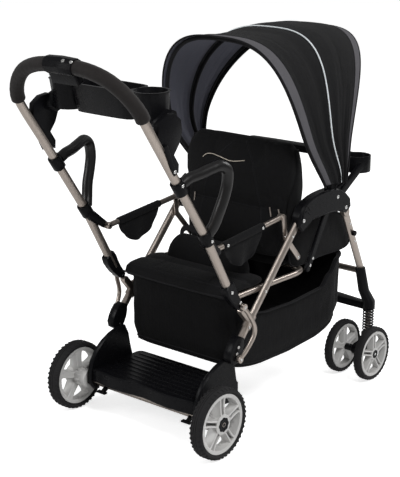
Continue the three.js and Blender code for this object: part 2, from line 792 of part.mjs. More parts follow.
function handleHousing() {
  const stations = gripStations.slice(release.first, release.last + 1);
  const sleeve = sweep(stations, handle.grip + release.wall, tubeFacets);
  const half = release.block / 2;
  const corners = [[0, half], [0, -half], [1, -half * 0.8], [1, half * 0.8]].map(([share, aside]) =>
    beside(crown, crownBase, handle.grip * 0.3 + share * (handle.grip + release.hang), aside),
  );
  const block = plate(corners, releaseX1, releaseX2, bracketSoft);
  const bore = crossRod(blockPlace, releaseX2 - release.bore, releaseX2 + overrun, release.button + fitGap, 16);
  return carved(joined(sleeve, block), sweep(gripStations, handle.grip + fitGap, tubeFacets), bore);
}

function foldButton() {
  const start = releaseX2 - release.bore + release.travel + 2 * fitGap;
  return crossRod(blockPlace, start, releaseX2 + release.buttonOut, release.button, 16);
}

addPart('handle_housing', handleHousing(), blackPlastic);
addPart('fold_button', foldButton(), clearPlastic);

// Pusher's tray: an open bin between two cups, hung from ears on the pushbar

const tray = {
  top: 942, floor: 868, middle: 500, lean: 11, half: 48, binHalf: 98, cup: 45, cupTaper: 7, cupX: 137,
};
const trayWall = 3;
const trayBase = 6;

function ovalRing(x, y, z, halfX, halfY, squareness, count) {
  return Array.from({ length: count }, (_, i) => {
    const turn = (i / count) * fullTurn;
    const bend = (value) => Math.sign(value) * Math.abs(value) ** (2 / squareness);
    return new THREE.Vector3(x + halfX * bend(Math.cos(turn)), y + halfY * bend(Math.sin(turn)), z);
  });
}

function trayHollow(spare, floor, top) {
  const bin = loft([
    ovalRing(0, tray.middle - tray.lean, floor, tray.binHalf * 0.94 - spare, tray.half * 0.75 - spare, 5, 16),
    ovalRing(0, tray.middle, top, tray.binHalf - spare, tray.half - spare, 5, 16),
  ]);
  const low = tray.cup - tray.cupTaper - spare;
  const high = tray.cup - spare;
  const cups = sides.map(([, sign]) => loft([
    ovalRing(sign * tray.cupX, tray.middle - tray.lean / 2, floor, low, low, 2, 14),
    ovalRing(sign * tray.cupX, tray.middle, top, high, high, 2, 14),
  ]));
  return [bin, ...cups];
}

const ear = { inner: 196, thick: 17, lip: 5 };
const earOutlinePlaces = [
  [214, 13], [214, 25], [262, 27], [272, 62], [304, 90], [338, 84], [356, 40], [344, 12],
];
const trayBridge = { back: 6, rise: 20, along: 322, aside: 58, wide: 14, narrow: 12 };

function parentTray() {
  const shells = trayHollow(0, tray.floor, tray.top);
  const lips = trayHollow(-trayWall, tray.top - ear.lip, tray.top);
  const parts = [...shells, ...lips];
  for (const [, sign] of sides) {
    const places = earOutlinePlaces.map(([along, aside]) => beside(pushbarKnee, pushbarTop, along, aside));
    const inner = sign * ear.inner;
    parts.push(plate(smoothOutline(places, 13), inner, inner + sign * ear.thick));
    const cupSide = { y: tray.middle - trayBridge.back, z: tray.floor + trayBridge.rise };
    const earSide = beside(pushbarKnee, pushbarTop, trayBridge.along, trayBridge.aside);
    const bridge = strapOutline(cupSide, earSide, trayBridge.wide, trayBridge.narrow, 4);
    parts.push(plate(bridge, sign * (tray.cupX + tray.cup * 0.5), inner + sign * overrun));
  }
  const hollows = trayHollow(trayWall, tray.floor + trayBase, tray.top + overrun);
  const gripClear = sweep(gripStations, handle.grip + fitGap, tubeFacets);
  return carved(joined(...parts), ...hollows, pushbarBore(), gripClear);
}

addPart('parent_tray', parentTray(), blackPlastic);

// Grab loops for the standing child, each clamped twice around the pushbar

const loopTube = { radius: 13.5, collar: 17, collarHalf: 19, upper: 176 };
const loopPlaces = [
  [0, 176, 12], [4, 178, 34], [10, 176, 62], [19, 150, 106], [25, 104, 124], [24, 60, 102], [20, 30, 64],
  [10, 8, 30], [2, 0, 12],
];
const barX = 180;
const barTube = 7.5;
const lug = { radius: 9, grip: 1 };

function childGrip(sign) {
  const points = loopPlaces.map(([out, along, aside]) =>
    spot(sign * (frameHalfWidth + out), beside(pushbarKnee, pushbarTop, along, aside)),
  );
  const parts = [bentTube(points, loopTube.radius, 11, 7)];
  for (const centre of [loopTube.upper, 0]) {
    const low = spot(sign * frameHalfWidth, beside(pushbarKnee, pushbarTop, centre - loopTube.collarHalf));
    const high = spot(sign * frameHalfWidth, beside(pushbarKnee, pushbarTop, centre + loopTube.collarHalf));
    parts.push(rod(low, high, loopTube.collar, 8));
  }
  const lugOuter = sign * (frameHalfWidth - tubeRadius * 0.6);
  const lugInner = sign * (barX + barTube + 2 * fitGap);
  const root = beside(pushbarKnee, pushbarFoot, loopTube.collarHalf);
  parts.push(plate(strapOutline(root, sideBarRear, loopTube.collar * 0.8, lug.radius, 4), lugInner, lugOuter));
  const body = carved(joined(...parts), pushbarBore());
  const pin = crossRod(sideBarRear, lugInner + sign * lug.grip, sign * (barX - barTube), pinRadius, 8);
  return body.add(solid(pin));
}

for (const [side, sign] of sides) {
  addPart(`child_grip_${side}`, childGrip(sign), foamRubber);
}

// Folding linkage at the foot of the pushbar

const link = { tube: 6, eye: 10, bulge: 36, out: 15, x: 223 };
const linkRouteShares = [[0, 0, 0], [0.15, 0.4, 0.5], [0.5, 1, 1], [0.85, 0.4, 0.5], [1, 0, 0]];
const foot = { socket: 16, reach: 46, toe: 10, heel: 6, proud: 2 };

function pushbarBracket(sign) {
  const outline = smoothOutline([
    beside(pushbarFoot, pushbarKnee, foot.reach, foot.socket), beside(pushbarFoot, pushbarKnee, 0, foot.socket),
    moved(linkTop, -saddle.eye, 0), beside(linkTop, pushbarFoot, -saddle.eye * 0.75, foot.toe),
    beside(linkTop, pushbarFoot, -saddle.eye * 0.75, -foot.toe), moved(linkTop, saddle.eye * 0.8, -foot.heel),
    beside(pushbarFoot, pushbarKnee, 0, -foot.socket),
    beside(pushbarFoot, pushbarKnee, foot.reach, -foot.socket),
  ], 14);
  const inner = sign * clampInner;
  return carved(
    solid(plate(outline, inner, sign * (clampInner + clampDeep + foot.proud), bracketSoft)),
    pushbarBore(),
    crossRod(linkTop, 0, sign * trackWidth, pinRadius + fitGap, 10),
  );
}

function curvedLink(sign) {
  const x = sign * link.x;
  const route = linkRouteShares.map(([share, forward, out]) => {
    const place = between(linkTop, linkFoot, share);
    return spot(x + sign * link.out * out, moved(place, -link.bulge * forward, 0));
  });
  const parts = [bentTube(route, link.tube, 8, 7)];
  for (const end of [linkTop, linkFoot]) {
    parts.push(crossRod(end, x - sign * link.tube * 0.8, x + sign * link.tube, link.eye, 8));
    parts.push(crossRod(end, x, sign * (clampInner + foot.proud), pinRadius, 8));
  }
  return joined(...parts);
}

for (const [side, sign] of sides) {
  addPart(`pushbar_bracket_${side}`, pushbarBracket(sign), blackPlastic);
  addPart(`curved_link_${side}`, curvedLink(sign), metalPaint);
}

// Side bars with their cloth guards, and the rockers on the rear legs

const rockerThick = 4;
const rockerWide = 16;
const rockerX = barX + barTube + fitGap + rockerThick / 2;
const rockerDrop = 58;
const rockerPivot = beside(legTop, legFoot, rockerDrop);
const barEye = 9.5;
const guard = { from: 0.13, to: 0.72, sleeve: 10.5, drop: 74, thick: 3, ripple: 3.5 };

function sideBar(sign) {
  const x = sign * barX;
  const shaft = rod(spot(x, sideBarRear), spot(x, sideBarFront), barTube, 10);
  const parts = [shaft];
  for (const end of [sideBarRear, sideBarFront]) {
    parts.push(crossRod(end, x - barTube, x + barTube, barEye, 10));
  }
  return carved(joined(...parts), crossRod(sideBarRear, 0, sign * trackWidth, pinRadius + fitGap, 10));
}

// Cloth sewn into a sleeve on the bar and hanging below it in soft folds.
function sideGuard(sign) {
  const x = sign * barX;
  const from = between(sideBarRear, sideBarFront, guard.from);
  const to = between(sideBarRear, sideBarFront, guard.to);
  const sleeve = rod(spot(x, from), spot(x, to), guard.sleeve, 10);
  const columns = 10;
  const rows = 3;
  const grid = (offset) =>
    Array.from({ length: columns + 1 }, (_, i) =>
      Array.from({ length: rows + 1 }, (_, j) => {
        const share = i / columns;
        const depth = guard.drop * Math.sin(halfTurn * (0.12 + 0.76 * share)) ** 0.5;
        const down = (j / rows) * depth;
        const drawn = 0.5 + (share - 0.5) * (1 - 0.3 * (j / rows) ** 2);
        const place = between(from, to, 0.02 + 0.96 * drawn);
        const fold = guard.ripple * (j / rows) * Math.sin(share * 2 * fullTurn);
        return spot(x + fold + offset, moved(place, 0, -down));
      }),
    );
  const cloth = sheet(grid(guard.thick / 2), grid(-guard.thick / 2));
  const clear = rod(spot(x, sideBarRear), spot(x, sideBarFront), barTube + fitGap, 10);
  return carved(joined(sleeve, cloth), clear);
}

function rocker(sign) {
  const x1 = sign * (rockerX - rockerThick / 2);
  const x2 = sign * (rockerX + rockerThick / 2);
  const upper = plate(strapOutline(rockerPivot, sideBarFront, rockerWide / 2, rockerWide / 2, 5), x1, x2);
  const lower = plate(strapOutline(rockerPivot, rockerFoot, rockerWide / 2, rockerWide / 2, 5), x1, x2);
  return joined(upper, lower);
}

for (const [side, sign] of sides) {
  addPart(`side_bar_${side}`, sideBar(sign), metalPaint);
  addPart(`side_guard_${side}`, sideGuard(sign), blackFabric);
  addPart(`rocker_${side}`, rocker(sign), metalPaint);
}

// Cushions: sections set along a side-view path, crowned across their width

function cushion(sections, halfWidth, { columns = 10, squareness = 4, channels = 0, dent = 0 } = {}) {
  const rings = sections.map(([low, high, widthShare = 1]) => {
    const across = Array.from({ length: columns + 1 }, (_, j) => -Math.cos((j / columns) * halfTurn));
    const swell = across.map((u) => (1 - Math.abs(u) ** squareness) ** (1 / squareness));
    const centre = between(low, high, 0.5);
    const seam = (u) => 1 - dent * Math.cos(u * channels * halfTurn) ** 8;
    const half = halfWidth * widthShare;
    const top = across.map((u, j) => spot(u * half, between(centre, high, swell[j] * seam(u))));
    const bottom = across.map((u, j) => spot(u * half, between(centre, low, swell[j])));
    return [...top, ...bottom.slice(1, -1).reverse()];
  });
  return loft(rings);
}

const seatFloor = seatTube.drop + seatTube.radius + fitGap;

// Sections of a flat cushion: each row is [y, floor lift, top lift, width share].
function flatSections(rows, floor) {
  return rows.map(([y, lift, height, share]) => [{ y, z: floor + lift }, { y, z: floor + height }, share]);
}

// Sections of an upright cushion: each row is [z, front y, rear y, width share].
function uprightSections(rows) {
  return rows.map(([z, front, rear, share]) => [{ y: front, z }, { y: rear, z }, share]);
}

// Rear bench with its low backrest

const bench = { half: 191, backHalf: 116 };
const benchRows = [
  [100, -2, 7, 0.86], [108, -5, 13, 0.96], [130, -6, 18, 1], [166, -6, 18, 1], [176, -6, 13, 1],
  [186, -6, 18, 1], [240, -6, 14, 1], [256, -16, 6, 0.99], [264, -20, -8, 0.96],
];
const benchBackRows = [
  [391, 101, 152, 1], [423, 100, 150, 1], [447, 104, 146, 0.99], [463, 110, 138, 0.93], [470, 118, 130, 0.84],
];

function benchSeat() {
  const pad = cushion(flatSections(benchRows, seatFloor), bench.half, { channels: 2, dent: 0.3 });
  const back = cushion(uprightSections(benchBackRows), bench.backHalf, { channels: 1, dent: 0.2 });
  return joined(pad, back).subtract(solid(seatFrameTube(fitGap)));
}

addPart('bench_seat', benchSeat(), blackFabric);

// Storage basket: a soft open bag slung between the side tubes and the front legs

const basket = {
  middle: -8, halfLong: 260, half: 188, wall: 2.5, squareness: 9, floor: 147, around: 28, riseRear: 26,
  riseFront: 34, drawn: 90,
};
const basketLevelShares = [[0, 0.87, 0.88], [0.05, 0.95, 0.96], [0.3, 0.99, 1], [1, 1, 1]];
const rimHeights = [
  [-262, 379], [-225, 372], [-180, 336], [-144, 306], [-60, 298], [80, 300], [160, 312], [196, 332], [236, 364],
  [252, seatFloor - 14.3],
];
const basketGather = { folds: 8, depth: 2.4 };

function along(table, value) {
  const passed = table.filter(([place]) => place < value).length;
  const i = Math.min(Math.max(passed, 1), table.length - 1);
  const [[x1, y1], [x2, y2]] = [table[i - 1], table[i]];
  const share = Math.min(Math.max((value - x1) / (x2 - x1), 0), 1);
  return y1 + (y2 - y1) * share * share * (3 - 2 * share);
}

function basketShell(spare) {
  const { middle, halfLong, half, squareness, floor, around } = basket;
  const rings = basketLevelShares.map(([level, longShare, wideShare]) =>
    Array.from({ length: around }, (_, i) => {
      const turn = (i / around) * fullTurn;
      const bend = (value) => Math.sign(value) * Math.abs(value) ** (2 / squareness);
      const [u, v] = [bend(Math.cos(turn)), bend(Math.sin(turn))];
      const gather = basketGather.depth * Math.sin(basketGather.folds * turn) * Math.sin(level * halfTurn);
      const rise = basket.riseRear * Math.max(v, 0) ** 3 + basket.riseFront * Math.max(-v, 0) ** 2.5;
      const low = floor + spare + rise;
      const rim = along(rimHeights, middle + v * halfLong) + (spare ? overrun : 0);
      const x = u * (half * wideShare - spare + gather);
      const y = middle + v * (halfLong * longShare - spare + gather) + (1 - longShare) * basket.drawn;
      return new THREE.Vector3(x, y, low + (rim - low) * level);
    }),
  );
  return loft(rings);
}

addPart('basket', carved(solid(basketShell(0)), basketShell(basket.wall)), blackFabric);

// Front seat: a crowned base and a reclining back

const seatHalf = 172;
const seatTop = 36;
const backHalf = 165;

// Cloth sides that stand up from the seat's edges towards the housings.
const seatSide = { inner: 167, thick: 7, soft: 2 };
const seatSidePlaces = [
  [-298, 394], [-300, 424], [-284, 462], [-250, 492], [-200, 508], [-130, 514], [-60, 508], [-24, 484],
  [-14, 440], [-20, 396], [-160, 389],
];

function seatSidePanel(sign) {
  const outline = smoothOutline(seatSidePlaces.map(([y, z]) => ({ y, z })), 18);
  return plate(outline, sign * seatSide.inner, sign * (seatSide.inner + seatSide.thick), seatSide.soft);
}

const seatRows = [
  [-300, 16, 22, 0.82], [-292, 6, 34, 0.94], [-262, 1, 41, 1], [-170, 0, 38, 1], [-156, 0, 31, 1],
  [-142, 0, 37, 1], [-15, 0, seatTop, 1], [-9, 3, 30, 0.97], [-7, 10, 20, 0.94],
];
const seatBackRows = [
  [seatFloor + seatTop + fitGap, -20, 22, 0.9], [434, -28, 32, 0.97], [540, -36, 26, 1], [552, -33, 21, 1],
  [564, -38, 24, 1.02], [610, -44, 18, 1.1], [690, -56, 6, 1.12], [714, -56, -8, 1.08], [728, -44, -30, 0.96],
];

function seatBase() {
  const pad = cushion(flatSections(seatRows, seatFloor), seatHalf, { channels: 1, dent: 0.12 });
  return joined(pad, seatSidePanel(1), seatSidePanel(-1));
}

function seatBack() {
  return cushion(uprightSections(seatBackRows), backHalf, { squareness: 5, channels: 1, dent: 0.25 });
}

addPart('seat_base', seatBase(), blackFabric);
addPart('seat_back', seatBack(), blackFabric);

// Child's tray on two arms that slide into the hub housings

const childTray = {
  top: 650, thick: 20, front: -344, rear: -306, cup: 37, cupX: -178, cupY: -322, cupDeep: 46, corner: 18,
};

function childTrayBody() {
  const { top, thick, front, rear, cup, cupX, cupY, cupDeep, corner } = childTray;
  const reach = frameHalfWidth + corner / 2;
  const shape = new THREE.Shape();
  shape.moveTo(cupX, rear);
  shape.lineTo(cupX, front);
  shape.quadraticCurveTo(0, front - corner, reach - corner, front);
  shape.quadraticCurveTo(reach, front, reach, front + corner);
  shape.lineTo(reach, rear);
  shape.quadraticCurveTo(0, rear - corner / 2, cupX, rear);
  const soft = corner / 6;
  const bar = new THREE.ExtrudeGeometry(shape, {
    depth: thick - 2 * soft, bevelEnabled: true, bevelThickness: soft, bevelSize: soft, bevelOffset: -soft,
    bevelSegments: 1, curveSegments: 6,
  });
  bar.translate(0, 0, top - thick + soft);
  const centre = (z) => new THREE.Vector3(cupX, cupY, z);
  const parts = [bar, rod(centre(top - cupDeep), centre(top), cup, 14)];
  for (const [, sign] of sides) {
    parts.push(trayArmPlate(sign));
  }
  const hollow = rod(centre(top - cupDeep + trayWall), centre(top + overrun), cup - trayWall, 14);
  return carved(joined(...parts), hollow);
}

addPart('child_tray', childTrayBody(), blackPlastic);

// Canopy: three bows on the housings' pivots, and the cloth over them

const canopy = {
  rise: 444, lowest: 27, half: 243, frontHalf: 262, squareness: 3, frontSquareness: 2.8, cloth: 3,
  rearAngle: 60, middleAngle: 87, frontAngle: 117, frontRadius: 480, sag: 7, pleat: 3, pleats: 5,
  pleatFade: 0.3,
};
const gather = { share: 0.34, height: 0.13, spread: 0.16 };
const waist = { share: 0.13, spread: 0.14, drop: 10, rise: 0.4 };
const bend = {
  rear: { y: 173, z: 40 },
  middle: { y: 140, z: 190 },
  front: { y: 58, z: 230 },
};
const bow = { radius: 3.2, disc: 12, discThick: 5, inset: 8.8, root: 9, start: 0.045, lift: 0.03 };
const bows = [
  ['rear_bow', 188.4, 0.02],
  ['mid_bow', 181.5, 0.5],
  ['front_bow', 174.6, 0.97],
];

function canopyAngle(u) {
  const { rearAngle, middleAngle, frontAngle } = canopy;
  if (u < 0.5) return rearAngle + (middleAngle - rearAngle) * u * 2;
  return middleAngle + (frontAngle - middleAngle) * (u - 0.5) * 2;
}

// The place towards which the side view of an arc leans on its way up from the pivot.
function canopyLean(u) {
  if (u < 0.5) return between(bend.rear, bend.middle, 1 - (1 - 2 * u) ** 1.5);
  return between(bend.middle, bend.front, 2 * u - 1);
}

// A point of the cloth: u runs from the rear opening to the front edge, turn from one side to the other.
function canopyPoint(u, turn, inset = 0, loose = 0) {
  const angle = radians(canopyAngle(u));
  const front = Math.max(2 * u - 1, 0);
  const reach = canopy.rise / Math.sin(Math.min(angle, radians(canopy.middleAngle)));
  const radius = reach + (canopy.frontRadius - reach) * front - inset;
  const end = { y: radius * Math.cos(angle), z: radius * Math.sin(angle) };
  const lean = canopyLean(u);
  const squareness = canopy.squareness + (canopy.frontSquareness - canopy.squareness) * u;
  const rounded = (value) => Math.abs(value) ** (2 / squareness);
  const least = canopy.lowest / end.z;
  const height = least + (1 - least) * rounded(Math.sin(turn));
  const rise = 2 * height * end.z;
  const s = rise / (2 * lean.z + Math.sqrt(4 * lean.z ** 2 + 2 * (end.z - 2 * lean.z) * rise));
  const slack = 1 - (loose * canopy.sag * Math.sin(halfTurn * ((2 * u) % 1))) / radius;
  const drawn = 1 - gather.share * Math.exp(-(((height - gather.height) / gather.spread) ** 2));
  const y = (2 * s * (1 - s) * lean.y + s * s * end.y) * slack * drawn;
  const z = height * end.z * slack;
  const narrowed = 1 - waist.share * Math.exp(-height / waist.spread);
  const half = (canopy.half + (canopy.frontHalf - canopy.half) * u) * narrowed - inset;
  const folds = Math.sin(u * canopy.pleats * fullTurn) * Math.exp(-height / canopy.pleatFade);
  const x = (half + loose * canopy.pleat * folds) * Math.sign(Math.cos(turn)) * rounded(Math.cos(turn));
  const drop = -waist.drop * (1 - Math.min(height / waist.rise, 1));
  return new THREE.Vector3(x, canopyPivot.y + drop + y, canopyPivot.z + z);
}

function canopyCloth() {
  const columns = 12;
  const rows = 20;
  const start = 0.012;
  const middle = Array.from({ length: columns + 1 }, (_, i) =>
    Array.from({ length: rows + 1 }, (_, j) =>
      canopyPoint(i / columns, halfTurn * (start + (1 - 2 * start) * (j / rows)), 0, 1),
    ),
  );
  const offset = (amount) =>
    middle.map((row, i) =>
      row.map((point, j) => {
        const down = middle[Math.max(i - 1, 0)][j];
        const up = middle[Math.min(i + 1, columns)][j];
        const back = row[Math.max(j - 1, 0)];
        const on = row[Math.min(j + 1, rows)];
        const normal = up.clone().sub(down).cross(on.clone().sub(back)).normalize();
        return point.clone().addScaledVector(normal, amount);
      }),
    );
  return sheet(offset(canopy.cloth / 2), offset(-canopy.cloth / 2));
}

function canopyBow(discX, u) {
  const points = [];
  const steps = 10;
  for (let j = 0; j <= steps; j++) {
    points.push(canopyPoint(u, halfTurn * (bow.start + (1 - 2 * bow.start) * (j / steps)), bow.inset));
  }
  for (const [, sign] of sides) {
    const lift = canopyPoint(u, sign > 0 ? bow.lift : halfTurn - bow.lift, bow.inset);
    const neck = new THREE.Vector3(sign * discX, lift.y, lift.z);
    const centre = spot(sign * discX, canopyPivot);
    const hub = neck.clone().sub(centre).setLength(bow.root).add(centre);
    if (sign > 0) points.unshift(hub, neck);
    else points.push(neck, hub);
  }
  const parts = [bentTube(points, bow.radius, 18, 5)];
  for (const [, sign] of sides) {
    const x = sign * discX;
    parts.push(crossRod(canopyPivot, x - bow.discThick / 2, x + bow.discThick / 2, bow.disc, 8));
  }
  const bore = crossRod(canopyPivot, -trackWidth, trackWidth, canopyPin.radius + fitGap, 12);
  return carved(joined(...parts), bore);
}

for (const [name, discX, u] of bows) {
  addPart(name, canopyBow(discX, u), metalPaint);
}
addPart('canopy_fabric', canopyCloth(), blackFabric);

// Brake bar under the board, with a pedal on each arm

function brakeBar() {
  const reach = fender.inner + fender.thick;
  const parts = [crossRod(brakePivot, -reach, reach, brake.radius, 10)];
  const foot = moved(brakePivot, brake.reach, -brake.fall);
  for (const [, sign] of sides) {
    const x = sign * brake.armX;
    const arm = strapOutline(brakePivot, foot, brake.radius * 1.6, brake.radius * 1.2, 3);
    const toe = moved(foot, brake.reach * 0.6, 0);
    const pad = strapOutline(foot, toe, brake.padThick / 2, brake.padThick / 2, 3);
    parts.push(plate(arm, x - brake.arm / 2, x + brake.arm / 2));
    parts.push(plate(pad, x - brake.pad / 2, x + brake.pad / 2));
  }
  return joined(...parts);
}

addPart('brake_bar', brakeBar(), metalPaint);

// The origin is the middle of the bounding box, on the floor.
const bounds = new THREE.Box3().setFromObject(stroller);
stroller.position.y = -(bounds.min.y + bounds.max.y) / 2;

export default stroller;
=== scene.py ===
import json
import math
import bmesh
import bpy
from mathutils import Matrix, Vector, noise
from mathutils.bvhtree import BVHTree


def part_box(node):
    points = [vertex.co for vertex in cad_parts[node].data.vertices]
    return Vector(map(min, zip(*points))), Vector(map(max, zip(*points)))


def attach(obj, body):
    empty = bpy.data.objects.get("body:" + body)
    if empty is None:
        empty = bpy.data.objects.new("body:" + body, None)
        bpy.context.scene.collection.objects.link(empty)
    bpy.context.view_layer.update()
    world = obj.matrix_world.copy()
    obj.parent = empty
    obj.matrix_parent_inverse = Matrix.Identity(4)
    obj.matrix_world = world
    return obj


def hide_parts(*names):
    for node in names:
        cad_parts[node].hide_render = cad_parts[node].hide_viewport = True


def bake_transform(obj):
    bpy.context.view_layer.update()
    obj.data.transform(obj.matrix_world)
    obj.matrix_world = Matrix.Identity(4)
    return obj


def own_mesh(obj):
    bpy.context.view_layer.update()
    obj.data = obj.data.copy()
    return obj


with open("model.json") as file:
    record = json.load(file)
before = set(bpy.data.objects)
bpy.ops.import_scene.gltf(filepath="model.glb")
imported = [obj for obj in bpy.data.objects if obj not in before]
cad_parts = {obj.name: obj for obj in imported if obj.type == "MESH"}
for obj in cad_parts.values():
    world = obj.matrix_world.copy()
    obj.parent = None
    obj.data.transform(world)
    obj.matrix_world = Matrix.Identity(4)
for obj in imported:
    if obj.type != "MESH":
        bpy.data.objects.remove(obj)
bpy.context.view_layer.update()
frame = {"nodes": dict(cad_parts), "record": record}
bodyNodes = frame["record"]["behaviour"]["bodies"]
bodyOfNode = {node: body for body, nodes in bodyNodes.items() for node in nodes}
mm = 0.001
sides = {"left": 1, "right": -1}
axleLow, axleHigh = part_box("rear_axle")
rowShift = (axleLow.y + axleHigh.y) / 2 - 387 * mm  # side-view places are measured from the wheelbase
print("frame loaded:", len(frame["nodes"]), "nodes")

# camera, lamps and floor

studio = {
    "location": (-2.1913, 2.7793, 1.4938),
    "target": (0.0779, 0.0651, 0.4428),
    "lens": 100.76,
    "worldLight": 0.3,
    "floorColour": (0.9, 0.9, 0.9, 1.0),
    "floorGlow": 0.72,
    "floorReach": 9,
    "lamps": [
        {"name": "keyLamp", "place": (-2.4, 1.0, 3.4), "size": 1.6, "power": 95},
        {"name": "fillLamp", "place": (1.8, 3.2, 2.4), "size": 1.6, "power": 48},
        {"name": "frontLamp", "place": (-0.8, -3.4, 2.6), "size": 1.8, "power": 60},
    ],
}


def makeCamera():
    data = bpy.data.cameras.new("photoCamera")
    data.lens = studio["lens"]
    data.sensor_width = 36
    data.sensor_fit = "AUTO"
    data.clip_end = 60
    camera = bpy.data.objects.new("photoCamera", data)
    bpy.context.scene.collection.objects.link(camera)
    slide = Vector((0, rowShift, 0))
    camera.location = Vector(studio["location"]) + slide
    look = Vector(studio["target"]) + slide - camera.location
    camera.rotation_mode = "QUATERNION"
    camera.rotation_quaternion = look.to_track_quat("-Z", "Y")
    bpy.context.scene.camera = camera


# node trees


class Signal:
    def __init__(self, sheet, socket):
        self.sheet = sheet
        self.socket = socket

    def maths(self, operation, *others):
        return self.sheet.node("ShaderNodeMath", {"operation": operation}, dict(enumerate([self, *others])))

    def __add__(self, other):
        return self.maths("ADD", other)

    def __mul__(self, other):
        return self.maths("MULTIPLY", other)

    def __truediv__(self, other):
        return self.maths("DIVIDE", other)

    __radd__ = __add__
    __rmul__ = __mul__


class NodeSheet:
    def __init__(self, tree):
        self.tree = tree

    def node(self, kind, settings=None, inputs=None, output=0):
        made = self.tree.nodes.new(kind)
        for name, value in (settings or {}).items():
            if name == "stops":
                ramp = made.color_ramp
                while len(ramp.elements) < len(value):
                    ramp.elements.new(0.5)
                for element, (place, colour) in zip(ramp.elements, value):
                    element.position = place
                    element.color = colour
            else:
                setattr(made, name, value)
        for name, value in (inputs or {}).items():
            socket = made.inputs[name]
            if isinstance(value, Signal):
                self.tree.links.new(value.socket, socket)
            else:
                socket.default_value = value
        return Signal(self, made.outputs[output])


def newFinish(name, **fixed):
    material = bpy.data.materials.new(name)
    material.use_nodes = True
    shader = material.node_tree.nodes["Principled BSDF"]
    for socket, value in fixed.items():
        shader.inputs[socket.replace("_", " ")].default_value = value
    return material, NodeSheet(material.node_tree), shader


def wire(sheet, signal, shader, name):
    sheet.tree.links.new(signal.socket, shader.inputs[name])


def blotches(sheet, where, scale, detail=3.0, rough=0.6):
    return sheet.node(
        "ShaderNodeTexNoise", {}, {"Vector": where, "Scale": scale, "Detail": detail, "Roughness": rough}
    )


def tint(sheet, share, dark, light):
    return sheet.node(
        "ShaderNodeMix", {"data_type": "RGBA"}, {"Factor": share, 6: (*dark, 1.0), 7: (*light, 1.0)}, 2
    )


def bump(sheet, height, strength, depth):
    return sheet.node("ShaderNodeBump", {}, {"Height": height, "Strength": strength, "Distance": depth})


def objectPlace(sheet):
    return sheet.node("ShaderNodeTexCoord", {}, {}, 3)


def clothPlace(sheet):
    return sheet.node("ShaderNodeUVMap", {"uv_map": "cloth"})


def moulded(name, dark, light, grain, gloss, pit=0.25, shine=0.08):
    material, sheet, shader = newFinish(name, Specular_IOR_Level=shine)
    where = objectPlace(sheet)
    cloud = blotches(sheet, where, 9.0)
    fine = blotches(sheet, where, grain, 2.0)
    scuff = blotches(sheet, where, 60.0, 6.0, 0.75)
    wire(sheet, tint(sheet, cloud, dark, light), shader, "Base Color")
    wire(sheet, gloss + 0.14 * scuff, shader, "Roughness")
    wire(sheet, bump(sheet, fine + 0.3 * scuff, pit, 0.0006), shader, "Normal")
    return material


def anodised(name, dark, light, gloss):
    material, sheet, shader = newFinish(name, Metallic=0.92)
    where = objectPlace(sheet)
    stretch = {"Vector": where, "Scale": (9.0, 1.0, 1.0)}
    brushed = sheet.node("ShaderNodeMapping", {"vector_type": "POINT"}, stretch)
    cloud = blotches(sheet, where, 5.0)
    streak = blotches(sheet, brushed, 260.0, 4.0, 0.7)
    scuff = blotches(sheet, where, 34.0, 5.0, 0.7)
    wire(sheet, tint(sheet, cloud, dark, light), shader, "Base Color")
    wire(sheet, gloss + 0.12 * streak + 0.1 * scuff, shader, "Roughness")
    wire(sheet, bump(sheet, streak, 0.12, 0.0003), shader, "Normal")
    return material


def foamSkin(name, dark, light):
    material, sheet, shader = newFinish(name, Sheen_Weight=0.08, Sheen_Roughness=0.5, Specular_IOR_Level=0.22)
    where = objectPlace(sheet)
    cells = sheet.node("ShaderNodeTexVoronoi", {}, {"Vector": where, "Scale": 900.0})
    cloud = blotches(sheet, where, 22.0)
    fine = blotches(sheet, where, 420.0, 3.0)
    wire(sheet, tint(sheet, cloud, dark, light), shader, "Base Color")
    wire(sheet, 0.62 + 0.2 * fine, shader, "Roughness")
    wire(sheet, bump(sheet, cells + 0.6 * fine, 0.35, 0.0006), shader, "Normal")
    return material


def rubber(name, dark, light):
    material, sheet, shader = newFinish(name, Specular_IOR_Level=0.22)
    where = objectPlace(sheet)
    dust = blotches(sheet, where, 28.0, 5.0, 0.7)
    fine = blotches(sheet, where, 700.0, 3.0)
    wire(sheet, tint(sheet, dust, dark, light), shader, "Base Color")
    wire(sheet, 0.66 + 0.2 * dust, shader, "Roughness")
    wire(sheet, bump(sheet, fine, 0.3, 0.0005), shader, "Normal")
    return material


def woven(name, dark, light, pitch, crease=0.5, fromCloth=True, sheen=0.03):
    material, sheet, shader = newFinish(
        name, Sheen_Weight=sheen, Sheen_Roughness=0.5, Specular_IOR_Level=0.12
    )
    where = objectPlace(sheet)
    turns = 2 * math.pi / pitch
    weave = sheet.node("ShaderNodeSeparateXYZ", {}, {"Vector": clothPlace(sheet) if fromCloth else where})
    over = (weave * turns).maths("SINE")
    across = Signal(sheet, weave.socket.node.outputs[1])
    under = (across * turns).maths("SINE")
    threads = over * under
    if not fromCloth:
        up = Signal(sheet, weave.socket.node.outputs[2])
        threads = over * under + under * (up * turns).maths("SINE") + over * (up * turns).maths("SINE")
    wrinkles = blotches(sheet, where, 26.0, 4.0, 0.6)
    wear = blotches(sheet, where, 7.0, 3.0)
    wire(sheet, tint(sheet, wear * 0.7 + (threads * 0.15 + 0.15), dark, light), shader, "Base Color")
    wire(sheet, 0.84 + 0.1 * wear, shader, "Roughness")
    coarse = bump(sheet, wrinkles, crease, 0.004)
    fine = sheet.node(
        "ShaderNodeBump", {}, {"Height": threads, "Strength": 0.4, "Distance": 0.0004, "Normal": coarse}
    )
    wire(sheet, fine, shader, "Normal")
    return material


